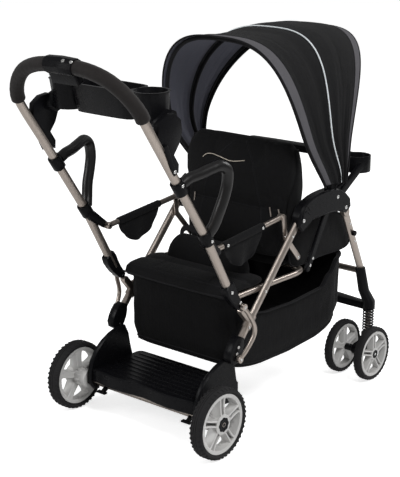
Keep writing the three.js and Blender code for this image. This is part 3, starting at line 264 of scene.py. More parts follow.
finishes = {
    "metal": anodised("champagneMetal", (0.36, 0.312, 0.276), (0.45, 0.395, 0.353), 0.2),
    "steel": anodised("rivetSteel", (0.55, 0.55, 0.54), (0.68, 0.68, 0.67), 0.16),
    "spring": anodised("springSteel", (0.018, 0.018, 0.02), (0.035, 0.035, 0.037), 0.3),
    "plastic": moulded("blackPlastic", (0.0025, 0.0025, 0.003), (0.0045, 0.0045, 0.0053), 1100.0, 0.26),
    "satin": moulded("satinPlastic", (0.003, 0.003, 0.0037), (0.006, 0.006, 0.007), 900.0, 0.21),
    "grey": moulded("greyPlastic", (0.46, 0.455, 0.445), (0.56, 0.555, 0.545), 800.0, 0.3, 0.15, 0.5),
    "clear": moulded("clearPlastic", (0.62, 0.66, 0.66), (0.74, 0.77, 0.76), 500.0, 0.12, 0.1, 0.5),
    "loopGrip": moulded("loopGrip", (0.0042, 0.004, 0.0042), (0.0085, 0.008, 0.0082), 600.0, 0.24, 0.3, 0.3),
    "foam": foamSkin("gripFoam", (0.0055, 0.0042, 0.004), (0.0115, 0.0088, 0.0082)),
    "tyre": rubber("tyreRubber", (0.0075, 0.0072, 0.0078), (0.019, 0.0185, 0.0195)),
    "cloth": woven("blackCloth", (0.0032, 0.0032, 0.0037), (0.0066, 0.0065, 0.0072), 0.0016),
    "pad": woven("padCloth", (0.0026, 0.0026, 0.003), (0.0056, 0.0055, 0.006), 0.0018, 0.6, False),
    "basket": woven("basketCloth", (0.0022, 0.0022, 0.0026), (0.0048, 0.0047, 0.0052), 0.0022, 0.7),
    "lining": woven("liningCloth", (0.078, 0.08, 0.102), (0.112, 0.114, 0.142), 0.0015, 0.8),
    "band": woven("bandCloth", (0.07, 0.068, 0.075), (0.1, 0.097, 0.106), 0.0015, 0.5),
    "piping": woven("pipingCloth", (0.6, 0.64, 0.66), (0.78, 0.82, 0.84), 0.0012, 0.2, False),
    "edge": woven("edgeBinding", (0.006, 0.006, 0.007), (0.012, 0.0117, 0.013), 0.0012, 0.3, False),
    "webbing": woven("webbing", (0.0065, 0.0065, 0.0075), (0.014, 0.0137, 0.015), 0.0024, 0.3, False),
    "thread": woven("sewingThread", (0.02, 0.02, 0.023), (0.04, 0.04, 0.044), 0.0008, 0.2, False),
    "elastic": woven("elasticTape", (0.4, 0.36, 0.3), (0.52, 0.47, 0.4), 0.0014, 0.2, False),
}
print("finishes made:", len(finishes))

# points, paths and meshes


def at(x, y, z):
    return Vector((x * mm, y * mm + rowShift, z * mm))


def beside(a, b, along, aside=0.0):
    length = math.hypot(b[0] - a[0], b[1] - a[1])
    dy, dz = (b[0] - a[0]) / length, (b[1] - a[1]) / length
    return (a[0] + dy * along - dz * aside, a[1] + dz * along + dy * aside)


def between(a, b, share):
    return tuple(p + (q - p) * share for p, q in zip(a, b))


stepsPerSpan = 24


def softPath(points, count, endless=False):
    # a smooth curve through the points, cut into equal steps
    points = [Vector(p) for p in points]
    total = len(points)
    if endless:
        ends = [points[-1], *points, points[0], points[1]]
    else:
        ends = [points[0] * 2 - points[1], *points, points[-1] * 2 - points[-2]]
    fine = []
    for i in range(total if endless else total - 1):
        p = ends[i : i + 4]
        knots = [0.0]
        for j in range(3):
            knots.append(knots[-1] + max((p[j + 1] - p[j]).length, 1e-9) ** 0.5)
        for step in range(stepsPerSpan):
            t = knots[1] + (knots[2] - knots[1]) * step / stepsPerSpan
            a = [p[j] + (p[j + 1] - p[j]) * ((t - knots[j]) / (knots[j + 1] - knots[j])) for j in range(3)]
            b = [a[j] + (a[j + 1] - a[j]) * ((t - knots[j]) / (knots[j + 2] - knots[j])) for j in range(2)]
            fine.append(b[0] + (b[1] - b[0]) * ((t - knots[1]) / (knots[2] - knots[1])))
    fine.append(points[0] if endless else points[-1])
    return evenly(fine, count, endless)


def evenly(line, count, endless=False):
    lengths = [0.0]
    for a, b in zip(line, line[1:]):
        lengths.append(lengths[-1] + (b - a).length)
    spaces = count if endless else count - 1
    out, i = [], 0
    for k in range(count):
        want = lengths[-1] * k / spaces
        while i < len(line) - 2 and lengths[i + 1] < want:
            i += 1
        span = max(lengths[i + 1] - lengths[i], 1e-12)
        out.append(line[i] + (line[i + 1] - line[i]) * min(max((want - lengths[i]) / span, 0), 1))
    return out


def newPiece(name, mesh, finish):
    piece = bpy.data.objects.new(name, mesh)
    bpy.context.scene.collection.objects.link(piece)
    if finish:
        mesh.materials.clear()
        mesh.materials.append(finishes[finish])
    return piece


def meshFrom(name, points, faces, cloth=None, smooth=True):
    mesh = bpy.data.meshes.new(name)
    mesh.from_pydata([tuple(p) for p in points], [], faces)
    if cloth:
        layer = mesh.uv_layers.new(name="cloth")
        for loop in mesh.loops:
            layer.data[loop.index].uv = cloth[loop.vertex_index]
    tool = bmesh.new()
    tool.from_mesh(mesh)
    bmesh.ops.recalc_face_normals(tool, faces=tool.faces)
    tool.to_mesh(mesh)
    tool.free()
    for face in mesh.polygons:
        face.use_smooth = smooth
    mesh.update()
    return mesh


def formed(name, skinned, finish, fold=None):
    piece = newPiece(name, meshFrom(name, *skinned), finish)
    if fold:
        crisp(piece, fold)
    return piece


def skin(rings, endless=False):
    count = len(rings[0])
    points = [p for ring in rings for p in ring]
    faces = []
    spans = len(rings) if endless else len(rings) - 1
    for r in range(spans):
        near, far = r * count, ((r + 1) % len(rings)) * count
        for i in range(count):
            j = (i + 1) % count
            faces.append((near + i, near + j, far + j, far + i))
    if not endless:
        faces.append(tuple(reversed(range(count))))
        faces.append(tuple(range((len(rings) - 1) * count, len(rings) * count)))
    return points, faces


def tubeRings(path, radius, facets=24, endless=False, wide=None, aim=None):
    rings = []
    tangent = (path[1] - path[0]).normalized()
    normal = Vector(aim) if aim else tangent.orthogonal()
    for i, point in enumerate(path):
        if endless:
            tangent = (path[(i + 1) % len(path)] - path[i - 1]).normalized()
        else:
            tangent = (path[min(i + 1, len(path) - 1)] - path[max(i - 1, 0)]).normalized()
        normal = (normal - tangent * normal.dot(tangent)).normalized()
        sideways = tangent.cross(normal)
        r = radius[i] if isinstance(radius, list) else radius
        w = wide if wide else r
        turns = [2 * math.pi * k / facets for k in range(facets)]
        rings.append([
            point + normal * (r * math.cos(turn)) + sideways * (w * math.sin(turn)) for turn in turns
        ])
    return rings


def tube(name, path, radius, finish, facets=24, endless=False, wide=None, aim=None):
    return formed(name, skin(tubeRings(path, radius, facets, endless, wide, aim), endless), finish, 50)


def crisp(piece, degrees=40):
    mesh = piece.data
    tool = bmesh.new()
    tool.from_mesh(mesh)
    for edge in tool.edges:
        edge.smooth = not (len(edge.link_faces) == 2 and edge.calc_face_angle(0) > math.radians(degrees))
    tool.to_mesh(mesh)
    tool.free()
    for face in mesh.polygons:
        face.use_smooth = True


def lathe(profile, segments, x, place):
    rings = []
    for s in range(segments):
        turn = 2 * math.pi * s / segments
        rings.append([
            at(x + along, place[0] + radius * math.cos(turn), place[1] + radius * math.sin(turn))
            for radius, along in profile
        ])
    return skin(rings, endless=True)


def merged(name, pieces):
    tool = bmesh.new()
    finishList = []
    for piece in pieces:
        held = bmesh.new()
        held.from_mesh(piece.data)
        for face in held.faces:
            material = piece.data.materials[face.material_index]
            if material not in finishList:
                finishList.append(material)
            face.material_index = finishList.index(material)
        spare = bpy.data.meshes.new("spare")
        held.to_mesh(spare)
        held.free()
        tool.from_mesh(spare)
        bpy.data.meshes.remove(spare)
        bpy.data.objects.remove(piece)
    mesh = bpy.data.meshes.new(name)
    tool.to_mesh(mesh)
    tool.free()
    for material in finishList:
        mesh.materials.append(material)
    whole = bpy.data.objects.new(name, mesh)
    bpy.context.scene.collection.objects.link(whole)
    return whole


def bodyPiece(piece, body, finish, *nodes):
    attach(piece, body)
    if nodes:
        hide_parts(*nodes)
    return piece


def settled(piece):
    # the modifiers' result becomes the piece's own mesh
    depsgraph = bpy.context.evaluated_depsgraph_get()
    mesh = bpy.data.meshes.new_from_object(piece.evaluated_get(depsgraph))
    piece.modifiers.clear()
    piece.data = mesh
    return piece


# geometry node trees for what repeats


def geometryTree(name, wanted):
    tree = bpy.data.node_groups.new(name, "GeometryNodeTree")
    tree.interface.new_socket("Geometry", in_out="INPUT", socket_type="NodeSocketGeometry")
    names = {}
    for label, kind in wanted.items():
        socket = tree.interface.new_socket(label, in_out="INPUT", socket_type="NodeSocket" + kind)
        names[label] = socket.identifier
    tree.interface.new_socket("Geometry", in_out="OUTPUT", socket_type="NodeSocketGeometry")
    sheet = NodeSheet(tree)
    start = tree.nodes.new("NodeGroupInput")
    given = {"Geometry": Signal(sheet, start.outputs[0])}
    for i, label in enumerate(wanted):
        given[label] = Signal(sheet, start.outputs[i + 1])
    return tree, sheet, given, names


def closeTree(tree, sheet, instances, finish):
    real = sheet.node("GeometryNodeRealizeInstances", {}, {"Geometry": instances})
    dressed = sheet.node("GeometryNodeSetMaterial", {}, {"Geometry": real, "Material": finish})
    end = tree.nodes.new("NodeGroupOutput")
    tree.links.new(dressed.socket, end.inputs[0])


def ringTree():
    tree, sheet, given, names = geometryTree(
        "ringOfCopies", {"Count": "Int", "Centre": "Vector", "Finish": "Material"}
    )
    points = sheet.node("GeometryNodePoints", {}, {"Count": given["Count"], "Position": given["Centre"]})
    index = sheet.node("GeometryNodeInputIndex")
    turn = index * (2 * math.pi) / given["Count"]
    angles = sheet.node("ShaderNodeCombineXYZ", {}, {"X": turn})
    rotation = sheet.node("FunctionNodeEulerToRotation", {}, {0: angles})
    placed = {"Points": points, "Instance": given["Geometry"], "Rotation": rotation}
    copies = sheet.node("GeometryNodeInstanceOnPoints", {}, placed)
    closeTree(tree, sheet, copies, given["Finish"])
    return tree, names


def fastenerTree():
    tree, sheet, given, names = geometryTree(
        "fastenerHeads", {"Head": "Object", "Size": "Float", "Finish": "Material"}
    )
    head = sheet.node("GeometryNodeObjectInfo", {}, {"Object": given["Head"]}, 4)
    aim = sheet.node("GeometryNodeInputNamedAttribute", {"data_type": "FLOAT_VECTOR"}, {"Name": "aim"})
    rotation = sheet.node("FunctionNodeAlignRotationToVector", {"axis": "Z"}, {"Vector": aim})
    points = sheet.node("GeometryNodeMeshToPoints", {}, {"Mesh": given["Geometry"]})
    copies = sheet.node(
        "GeometryNodeInstanceOnPoints", {},
        {"Points": points, "Instance": head, "Rotation": rotation, "Scale": given["Size"]},
    )
    closeTree(tree, sheet, copies, given["Finish"])
    return tree, names


def stitchTree():
    tree, sheet, given, names = geometryTree(
        "sewnStitches", {"Spacing": "Float", "Length": "Float", "Thickness": "Float", "Finish": "Material"}
    )
    line = sheet.node("GeometryNodeMeshToCurve", {}, {"Mesh": given["Geometry"]})
    every = {"Curve": line, "Length": given["Spacing"]}
    spots = sheet.node("GeometryNodeResampleCurve", {"mode": "LENGTH"}, every)
    direction = sheet.node("GeometryNodeInputTangent")
    rotation = sheet.node("FunctionNodeAlignRotationToVector", {"axis": "X"}, {"Vector": direction})
    grain = sheet.node("GeometryNodeMeshIcoSphere", {}, {"Radius": 0.5, "Subdivisions": 1})
    size = sheet.node(
        "ShaderNodeCombineXYZ", {}, {"X": given["Length"], "Y": given["Thickness"], "Z": given["Thickness"]}
    )
    copies = sheet.node(
        "GeometryNodeInstanceOnPoints", {},
        {"Points": spots, "Instance": grain, "Rotation": rotation, "Scale": size},
    )
    closeTree(tree, sheet, copies, given["Finish"])
    return tree, names


def coilTree():
    tree, sheet, given, names = geometryTree(
        "coilSpring",
        {"Turns": "Float", "Radius": "Float", "Height": "Float", "Wire": "Float", "Foot": "Vector",
         "Finish": "Material"},
    )
    spiral = sheet.node(
        "GeometryNodeCurveSpiral", {},
        {"Resolution": 28, "Rotations": given["Turns"], "Start Radius": given["Radius"],
         "End Radius": given["Radius"], "Height": given["Height"]},
    )
    circle = sheet.node("GeometryNodeCurvePrimitiveCircle", {}, {"Resolution": 12, "Radius": given["Wire"]})
    wireMesh = sheet.node(
        "GeometryNodeCurveToMesh", {}, {"Curve": spiral, "Profile Curve": circle, "Fill Caps": True}
    )
    placed = sheet.node("GeometryNodeTransform", {}, {"Geometry": wireMesh, "Translation": given["Foot"]})
    closeTree(tree, sheet, placed, given["Finish"])
    return tree, names


def grown(name, mesh, recipe, values, finish):
    tree, names = recipe
    piece = newPiece(name, mesh, finish)
    modifier = piece.modifiers.new("repeat", "NODES")
    modifier.node_group = tree
    for label, value in values.items():
        modifier[names[label]] = value
    modifier[names["Finish"]] = finishes[finish]
    return settled(piece)


recipes = {"ring": ringTree(), "fastener": fastenerTree(), "stitch": stitchTree(), "coil": coilTree()}
print("node trees made")


moulding = {"weld": 0.02 * mm, "flatAngle": 1.5, "bevelAngle": 50, "shadeAngle": 34}


def polished(node, finish, width, name=None):
    # a copy of the solid with welded faces and rounded edges
    tool = bmesh.new()
    tool.from_mesh(frame["nodes"][node].data)
    bmesh.ops.remove_doubles(tool, verts=tool.verts, dist=moulding["weld"])
    bmesh.ops.dissolve_limit(
        tool, angle_limit=math.radians(moulding["flatAngle"]), verts=tool.verts, edges=tool.edges
    )
    least = math.radians(moulding["bevelAngle"])
    sharp = [e for e in tool.edges if len(e.link_faces) == 2 and e.calc_face_angle(0) > least]
    bmesh.ops.bevel(
        tool, geom=sharp, offset=width * mm, offset_type="OFFSET", segments=2, profile=0.5,
        affect="EDGES", clamp_overlap=True,
    )
    bmesh.ops.triangulate(tool, faces=[f for f in tool.faces if len(f.verts) > 4])
    mesh = bpy.data.meshes.new(node)
    tool.to_mesh(mesh)
    tool.free()
    piece = newPiece(name or node + "_moulded", mesh, finish)
    crisp(piece, moulding["shadeAngle"])
    return bodyPiece(piece, bodyOfNode[node], finish, node)


def side(place, sign, x):
    return at(sign * x, place[0], place[1])


# wheels

wheels = {
    "rear": {"radius": 96, "half": 19, "bead": 79, "inner": 69, "ringHalf": 15, "flange": 27, "cap": 18.5,
             "place": (387, 96), "blocks": 42, "faceOut": 16.5, "spokeWide": 5.2, "slot": 8.0},
    "front": {"radius": 80, "half": 13, "bead": 66, "inner": 57.5, "ringHalf": 11, "flange": 17, "cap": 12,
              "place": (-299, 80), "blocks": 36, "faceOut": 11.5, "spokeWide": 4.4, "slot": 6.4},
}


def ringOf(name, mesh, count, centre, finish):
    return grown(name, mesh, recipes["ring"], {"Count": count, "Centre": centre}, finish)


tyreForm = {"beadGap": 0.35, "treadDepth": 1.9, "blockFoot": 3.4, "blockHeight": 3.9, "grooveDepth": 1.3,
            "shoulderSteps": 5, "segments": 96}


def tyrePiece(name, size, x):
    half, bead = size["half"], size["bead"] + tyreForm["beadGap"]
    tread = size["radius"] - tyreForm["treadDepth"]
    grooved = tread - tyreForm["grooveDepth"]
    profile = [
        (bead, -half * 0.72), (bead + 1.5, -half * 0.86), (bead + 5, -half * 0.97),
        (tread - half * 0.5, -half),
    ]
    for i in range(tyreForm["shoulderSteps"]):
        turn = math.pi / 2 * (i + 1) / tyreForm["shoulderSteps"]
        radius = tread - half * 0.5 + half * 0.42 * math.sin(turn)
        profile.append((radius, -half * (1 - 0.5 * (1 - math.cos(turn)))))
    profile.append((tread, -half * 0.3))
    for groove in (-0.16, 0.16):
        profile += [
            (tread + 0.1, half * (groove - 0.06)), (grooved, half * (groove - 0.04)),
            (grooved, half * (groove + 0.04)), (tread + 0.1, half * (groove + 0.06)),
        ]
    left = [p for p in profile if p[1] < 0]
    profile = left + [(radius, -along) for radius, along in reversed(left)]
    body = formed(name, lathe(profile, tyreForm["segments"], x, size["place"]), "tyre", 38)
    # two rows of tread blocks, the second half a pitch further round
    boxFaces = [(0, 1, 3, 2), (4, 6, 7, 5), (0, 4, 5, 1), (2, 3, 7, 6), (0, 2, 6, 4), (1, 5, 7, 3)]
    blocks = []
    for row in (-1, 1):
        boxPoints = []
        for height in (0.0, 1.0):
            for along in (0.0, 1.0):
                for around in (-1, 1):
                    reach = tread - tyreForm["blockFoot"] + height * tyreForm["blockHeight"]
                    reach -= along * (0.4 + 2.6 * height)
                    boxPoints.append(Vector((
                        row * half * mm * (0.52 + 0.43 * along),
                        (around * (2.9 - 0.5 * height) + (along * row * 1.4)) * mm, reach * mm,
                    )))
        block = meshFrom("block", boxPoints, boxFaces, smooth=False)
        if row > 0:
            block.transform(Matrix.Rotation(math.pi / size["blocks"], 4, "X"))
        blocks.append(ringOf(name + "_tread", block, size["blocks"], at(x, *size["place"]), "tyre"))
        crisp(blocks[-1], 30)
    return merged(name, [body, *blocks])


rimForm = {"spokes": 5, "hubRibs": 20, "ringRibs": 40, "drumTeeth": 12, "capLobes": 8, "capSteps": 96,
           "lobeDepth": 0.055}
drum = {"length": 34, "radius": 25, "rim": 23.5, "bore": 7, "toothTop": 26, "toothFoot": 22.5,
        "toothShare": 0.55}


def rimPiece(name, size, x, out, drumLength=0):
    # out is 1 or -1: the way in which the wheel's outer face looks along X
    bead, inner, half = size["bead"], size["inner"], size["ringHalf"]
    centre = at(x, *size["place"])
    ring = [
        (bead - 0.5, -half), (bead, -half + 0.8), (bead - 2.4, -half * 0.35), (bead - 2.4, half * 0.35),
        (bead, half - 0.8), (bead - 0.5, half), (inner + 1.6, half), (inner + 0.2, half - 0.7),
        (inner - 0.2, half * 0.3), (inner + 0.6, 0), (inner - 0.2, -half * 0.3), (inner + 0.2, -half + 0.7),
        (inner + 1.6, -half),
    ]
    pieces = [formed("ring", lathe(ring, 96, x, size["place"]), "grey", 35)]
    face = size["faceOut"]
    flange = size["flange"]
    hub = [
        (0.45 * flange, out * (face + 1.2)), (flange - 2.2, out * (face + 1.2)),
        (flange - 0.6, out * (face + 0.4)), (flange, out * (face - 1)), (flange * 0.9, out * (face - 6)),
        (flange * 0.72, out * 1.5), (flange * 0.72, -out * (face - 5)), (flange * 0.86, -out * (face - 2.5)),
        (flange * 0.86, -out * (face - 0.5)), (flange * 0.8, -out * face), (0.3 * flange, -out * face),
    ]
    pieces.append(formed("hub", lathe(hub, 64, x, size["place"]), "grey", 35))
    shape = []
    for across in (-1, 1):
        near, wide = size["slot"] / 2, size["spokeWide"]
        spans = [
            (flange * 0.62, 0.8, 1.15, 0.98), (flange + 3, 1.0, 1.0, 0.95),
            ((flange + inner) / 2, 1.0, 0.94, 0.86), (inner - 5, 1.15, 1.0, 0.88),
            (inner + 2.2, 1.75, 1.3, 0.92),
        ]
        rings = []
        for reach, spread, thick, deep in spans:
            low, high = near * spread, near * spread + wide * thick
            d = face * deep
            section = [
                (low, -d + 1), (low + 0.9, -d), (high - 0.9, -d), (high, -d + 1),
                (high, d - 1.2), (high - 1.1, d), (low + 1.1, d), (low, d - 1.2),
            ]
            rings.append([Vector((out * b * mm, across * a * mm, reach * mm)) for a, b in section])
        shape.append(skin(rings))
    # a thin web ties each pair of ribs behind the slot
    web = []
    for reach, spread in ((flange * 0.7, 0.9), (inner + 1, 1.7)):
        w = size["slot"] / 2 * spread + 1
        web.append([Vector((-out * face * s * mm, a * w * mm, reach * mm)) for s, a in (
            (0.86, -1), (0.86, 1), (0.66, 1), (0.66, -1))])
    shape.append(skin(web))
    allPoints, allFaces = [], []
    for somePoints, someFaces in shape:
        base = len(allPoints)
        allPoints += somePoints
        allFaces += [tuple(base + i for i in f) for f in someFaces]
    pair = meshFrom("pair", allPoints, allFaces)
    pieces.append(ringOf("spokes", pair, rimForm["spokes"], centre, "grey"))
    crisp(pieces[-1], 30)
    # thin ribs round the inner face of the hub and under the ring
    for kind, wide, top, foot, reaches in (
        ("hubRibs", 0.55, face * 0.86, 1, (flange * 0.66, flange * 0.86)),
        ("ringRibs", 0.5, half * 0.9, half * 0.2, (inner - 1.6, inner + 1)),
    ):
        section = ((-1, top), (1, top), (1, foot), (-1, foot))
        rib = meshFrom("rib", *skin([
            [Vector((-out * b * mm, a * wide * mm, r * mm)) for a, b in section] for r in reaches
        ]))
        pieces.append(ringOf(kind, rib, rimForm[kind], centre, "grey"))
    if drumLength:
        start = -out * (size["half"] - 4)
        end = -out * (size["half"] + drumLength)
        profile = [
            (drum["rim"], start), (drum["radius"], end + out * 3), (drum["radius"] - 0.4, end + out * 1),
            (drum["rim"], end), (drum["bore"], end), (drum["bore"], start),
        ]
        pieces.append(formed("drum", lathe(profile, 48, x, size["place"]), "grey", 35))
        section = (
            (-2.4, drum["toothFoot"]), (2.4, drum["toothFoot"]),
            (1.8, drum["toothTop"]), (-1.8, drum["toothTop"]),
        )
        tooth = meshFrom("tooth", *skin([
            [Vector((along * mm, a * mm, r * mm)) for a, r in section]
            for along in (start, start - out * drumLength * drum["toothShare"])
        ]))
        pieces.append(ringOf("drumTeeth", tooth, rimForm["drumTeeth"], centre, "grey"))
    # dark cap with eight lobes
    cap = size["cap"]
    rings = []
    for lift, share in (
        (-1.5, 1.0), (1.9, 1.0), (2.7, 0.93), (2.9, 0.72), (2.2, 0.62), (2.2, 0.3), (2.9, 0.24), (2.9, 0.05),
    ):
        along = face + lift
        ringPoints = []
        for k in range(rimForm["capSteps"]):
            turn = 2 * math.pi * k / rimForm["capSteps"]
            lobe = 1 + (rimForm["lobeDepth"] * math.cos(rimForm["capLobes"] * turn) if share > 0.6 else 0)
            ringPoints.append(at(
                x + out * along, size["place"][0] + cap * share * lobe * math.cos(turn),
                size["place"][1] + cap * share * lobe * math.sin(turn),
            ))
        rings.append(ringPoints)
    pieces.append(formed("cap", skin(rings), "satin", 35))
    return merged(name, pieces)


wheelTrack = {"rearX": 251, "casterX": 212, "apart": 50}
for label, sign in sides.items():
    tyre = tyrePiece("tyre_rear_" + label, wheels["rear"], sign * wheelTrack["rearX"])
    bodyPiece(tyre, "rear_wheel_" + label, "tyre", "rear_tyre_" + label)
    rim = rimPiece("rim_rear_" + label, wheels["rear"], sign * wheelTrack["rearX"], sign, drum["length"])
    bodyPiece(rim, "rear_wheel_" + label, "grey", "rear_rim_" + label)
    for row, offset in (("outer", 1), ("inner", -1)):
        x = sign * (wheelTrack["casterX"] + offset * wheelTrack["apart"])
        body = f"front_wheel_{label}_{row}"
        tyre = tyrePiece(f"tyre_front_{label}_{row}", wheels["front"], x)
        bodyPiece(tyre, body, "tyre", f"front_tyre_{label}_{row}")
        rim = rimPiece(f"rim_front_{label}_{row}", wheels["front"], x, sign * offset)
        bodyPiece(rim, body, "grey", f"front_rim_{label}_{row}")
print("wheels made")

# moulded and metal parts that keep their solid's shape

solidFinishes = {
    "platform": ("satin", 1.2), "handle_housing": ("satin", 1.0), "parent_tray": ("satin", 1.0),
    "child_tray": ("satin", 1.2), "front_brace": ("plastic", 1.0), "rear_axle": ("metal", 0.6),
    "front_cross_tube": ("metal", 0.6),
}
for label in sides:
    solidFinishes.update({
        "rear_bracket_" + label: ("satin", 1.2), "hub_housing_" + label: ("satin", 1.4),
        "seat_link_" + label: ("satin", 1.2), "caster_fork_" + label: ("satin", 1.2),
        "pushbar_bracket_" + label: ("satin", 1.2), "rear_leg_" + label: ("metal", 0.7),
        "front_leg_" + label: ("metal", 0.7), "rocker_" + label: ("metal", 0.9),
        "strut_" + label: ("metal", 0.6),
    })
shaped = {node: polished(node, finish, width) for node, (finish, width) in solidFinishes.items()}
print("moulded parts bevelled")

# places in the side view, in millimetres

places = {
    "legTop": (-6, 532), "legFoot": (262, 245), "foldPivot": (-214, 530), "frontFoot": (-332, 284),
    "casterAxis": (-354, 190), "canopyPivot": (-163, 566), "barFoot": (278, 388), "knee": (381, 570),
    "barTop": (599, 890), "linkTop": (252, 360), "linkFoot": (267, 223), "sideRear": (322, 518),
    "sideFront": (40, 545), "rockerFoot": (-28, 420), "rockerPivot": (33.6, 489.6), "brakePivot": (372, 80),
}
railHalf = 205
farOut = 330  # mm from the middle plane, outside every piece
outward = {label: Vector((sign, 0, 0)) for label, sign in sides.items()}
casterPlane, linkPlane = wheelTrack["casterX"], 223


def mirrored(path):
    return [Vector((-p.x, p.y, p.z)) for p in reversed(path)]


def stations(*spots):
    return [at(*spot) for spot in spots]


# pushbar, grip and fold button

handle = {
    "tube": 11.5, "grip": 17.8, "tilt": 66, "rise": 126,
    "across": (1, 0.985, 0.925, 0.82, 0.66, 0.44, 0.2, 0),
    "lift": (0, 0.16, 0.37, 0.59, 0.795, 0.93, 0.985, 1),
}


def handlePlace(lift):
    # a place on the tilted plane of the handle, in the side view
    tilt = math.radians(handle["tilt"])
    rise = handle["rise"] * lift
    return places["barTop"][0] + rise * math.cos(tilt), places["barTop"][1] + rise * math.sin(tilt)


def handlePath():
    steps = zip(handle["across"], handle["lift"])
    half = [at(-railHalf * across, *handlePlace(lift)) for across, lift in steps]
    return half + mirrored(half[:-1])


def pushbarPath():
    knee, top, foot = places["knee"], places["barTop"], places["barFoot"]
    leg = [foot, *(beside(knee, foot, along) for along in (60, 22, 8))]
    leg += [beside(knee, top, along) for along in (8, 22, 80, 240)]
    near = [at(-railHalf, *p) for p in leg]
    return softPath(near + handlePath() + mirrored(near), 260)


pushbarTube = tube("pushbar_tube", pushbarPath(), handle["tube"] * mm, "metal", 28)
bodyPiece(pushbarTube, "pushbar", "metal", "pushbar")
gripPath = softPath(handlePath(), 220)
gripRadii = []
for i in range(len(gripPath)):
    fromEnd = min(i, len(gripPath) - 1 - i)
    roundEnd = 1 - 0.3 * max(0, 1 - fromEnd / 3) ** 2
    gripRadii.append(handle["grip"] * roundEnd * (1 + 0.006 * math.sin(i * 0.9)) * mm)
bodyPiece(tube("grip_sleeve", gripPath, gripRadii, "foam", 32), "pushbar", "foam", "grip_foam")
crown = handlePlace(1)


def lugRings(x1, x2, place, radius, rounding, facets=32):
    # a disc from x1 to x2 with rounded edges
    ends = [(0, 1 - rounding / radius), (rounding * 0.3, 1 - 0.3 * rounding / radius), (rounding, 1)]
    steps = [(x1 + inset, share) for inset, share in ends]
    steps += [(x2 - inset, share) for inset, share in reversed(ends)]
    turns = [2 * math.pi * k / facets for k in range(facets)]
    return [
        [
            at(x, place[0] + radius * share * math.cos(turn), place[1] + radius * share * math.sin(turn))
            for turn in turns
        ]
        for x, share in steps
    ]


buttonLow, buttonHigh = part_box("fold_button")
buttonMid = (buttonLow + buttonHigh) / 2
buttonPlace = ((buttonMid.y - rowShift) / mm, buttonMid.z / mm)
buttonRadius, buttonRounding = (buttonHigh.z - buttonLow.z) / 2 / mm, 2.2
buttonRings = lugRings(buttonLow.x / mm, buttonHigh.x / mm, buttonPlace, buttonRadius, buttonRounding)
bodyPiece(formed("fold_button_cap", skin(buttonRings), "clear", 40), "fold_button", "clear", "fold_button")

# grab loops

loop = {
    "radius": 14.2, "collar": 16.8, "half": 19, "upper": 176, "lugEnd": 6,
    "route": ((0, 176, 12), (3, 171, 36), (9, 157, 66), (17, 145, 98), (24, 134, 121), (28, 112, 131),
              (26, 84, 118), (23, 60, 92), (18, 36, 58), (10, 14, 30), (2, 4, 12)),
}


def trimmed(piece, gone):
    # takes away the points of a piece for which gone is true
    tool = bmesh.new()
    tool.from_mesh(piece.data)
    bmesh.ops.delete(tool, geom=[v for v in tool.verts if gone(v)], context="VERTS")
    tool.to_mesh(piece.data)
    tool.free()


def roundedTube(a, b, radius, name, finish, facets=32, soft=2.0):
    direction = (b - a).normalized()
    length = (b - a).length
    stops = [0, 0.25 * soft, soft, length / mm - soft, length / mm - 0.25 * soft, length / mm]
    shares = [1 - soft / radius, 1 - 0.35 * soft / radius, 1, 1, 1 - 0.35 * soft / radius, 1 - soft / radius]
    path = [a + direction * (s * mm) for s in stops]
    return tube(name, path, [radius * s * mm for s in shares], finish, facets)


for label, sign in sides.items():
    knee, top = places["knee"], places["barTop"]
    route = [
        side(beside(knee, top, along, aside), sign, railHalf + out) for out, along, aside in loop["route"]
    ]
    path = softPath(route, 90)
    parts = [tube("loop", path, loop["radius"] * mm, "loopGrip", 28)]
    for centre in (loop["upper"], 0):
        low = side(beside(knee, top, centre - loop["half"]), sign, railHalf)
        high = side(beside(knee, top, centre + loop["half"]), sign, railHalf)
        parts.append(roundedTube(low, high, loop["collar"], "clamp", "satin"))
    grip = merged("grab_loop_" + label, parts)
    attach(grip, "pushbar")
    lug = polished("child_grip_" + label, "satin", 0.9, "grab_lug_" + label)
    cut = (railHalf - loop["lugEnd"]) * mm
    trimmed(lug, lambda v: v.co.x * sign > cut)

# folding linkage and the side bars

linkage = {
    "tube": 5.9, "eye": 9.8, "bulge": 36, "out": 15, "eyeIn": 4.7, "eyeOut": 5.8, "pin": 3.9, "pinFrom": 196,
    "pinOut": 7.4, "route": ((0, 0, 0), (0.15, 0.4, 0.5), (0.5, 1, 1), (0.85, 0.4, 0.5), (1, 0, 0)),
}
for label, sign in sides.items():
    route = []
    for share, forward, out in linkage["route"]:
        y, z = between(places["linkTop"], places["linkFoot"], share)
        route.append(at(sign * (linkPlane + linkage["out"] * out), y - linkage["bulge"] * forward, z))
    parts = [tube("link", softPath(route, 60), linkage["tube"] * mm, "metal", 24)]
    eyeFrom, eyeTo = linkPlane - linkage["eyeIn"], linkPlane + linkage["eyeOut"]
    for end in ("linkTop", "linkFoot"):
        for name, inner, outer, radius, finish, facets, soft in (
            ("eye", eyeFrom, eyeTo, linkage["eye"], "metal", 28, 1.2),
            ("pin", linkage["pinFrom"], linkPlane + linkage["pinOut"], linkage["pin"], "steel", 20, 1.0),
        ):
            a, b = side(places[end], sign, inner), side(places[end], sign, outer)
            parts.append(roundedTube(a, b, radius, name, finish, facets, soft))
    bodyPiece(merged("bent_link_" + label, parts), "fold_links", "metal", "curved_link_" + label)

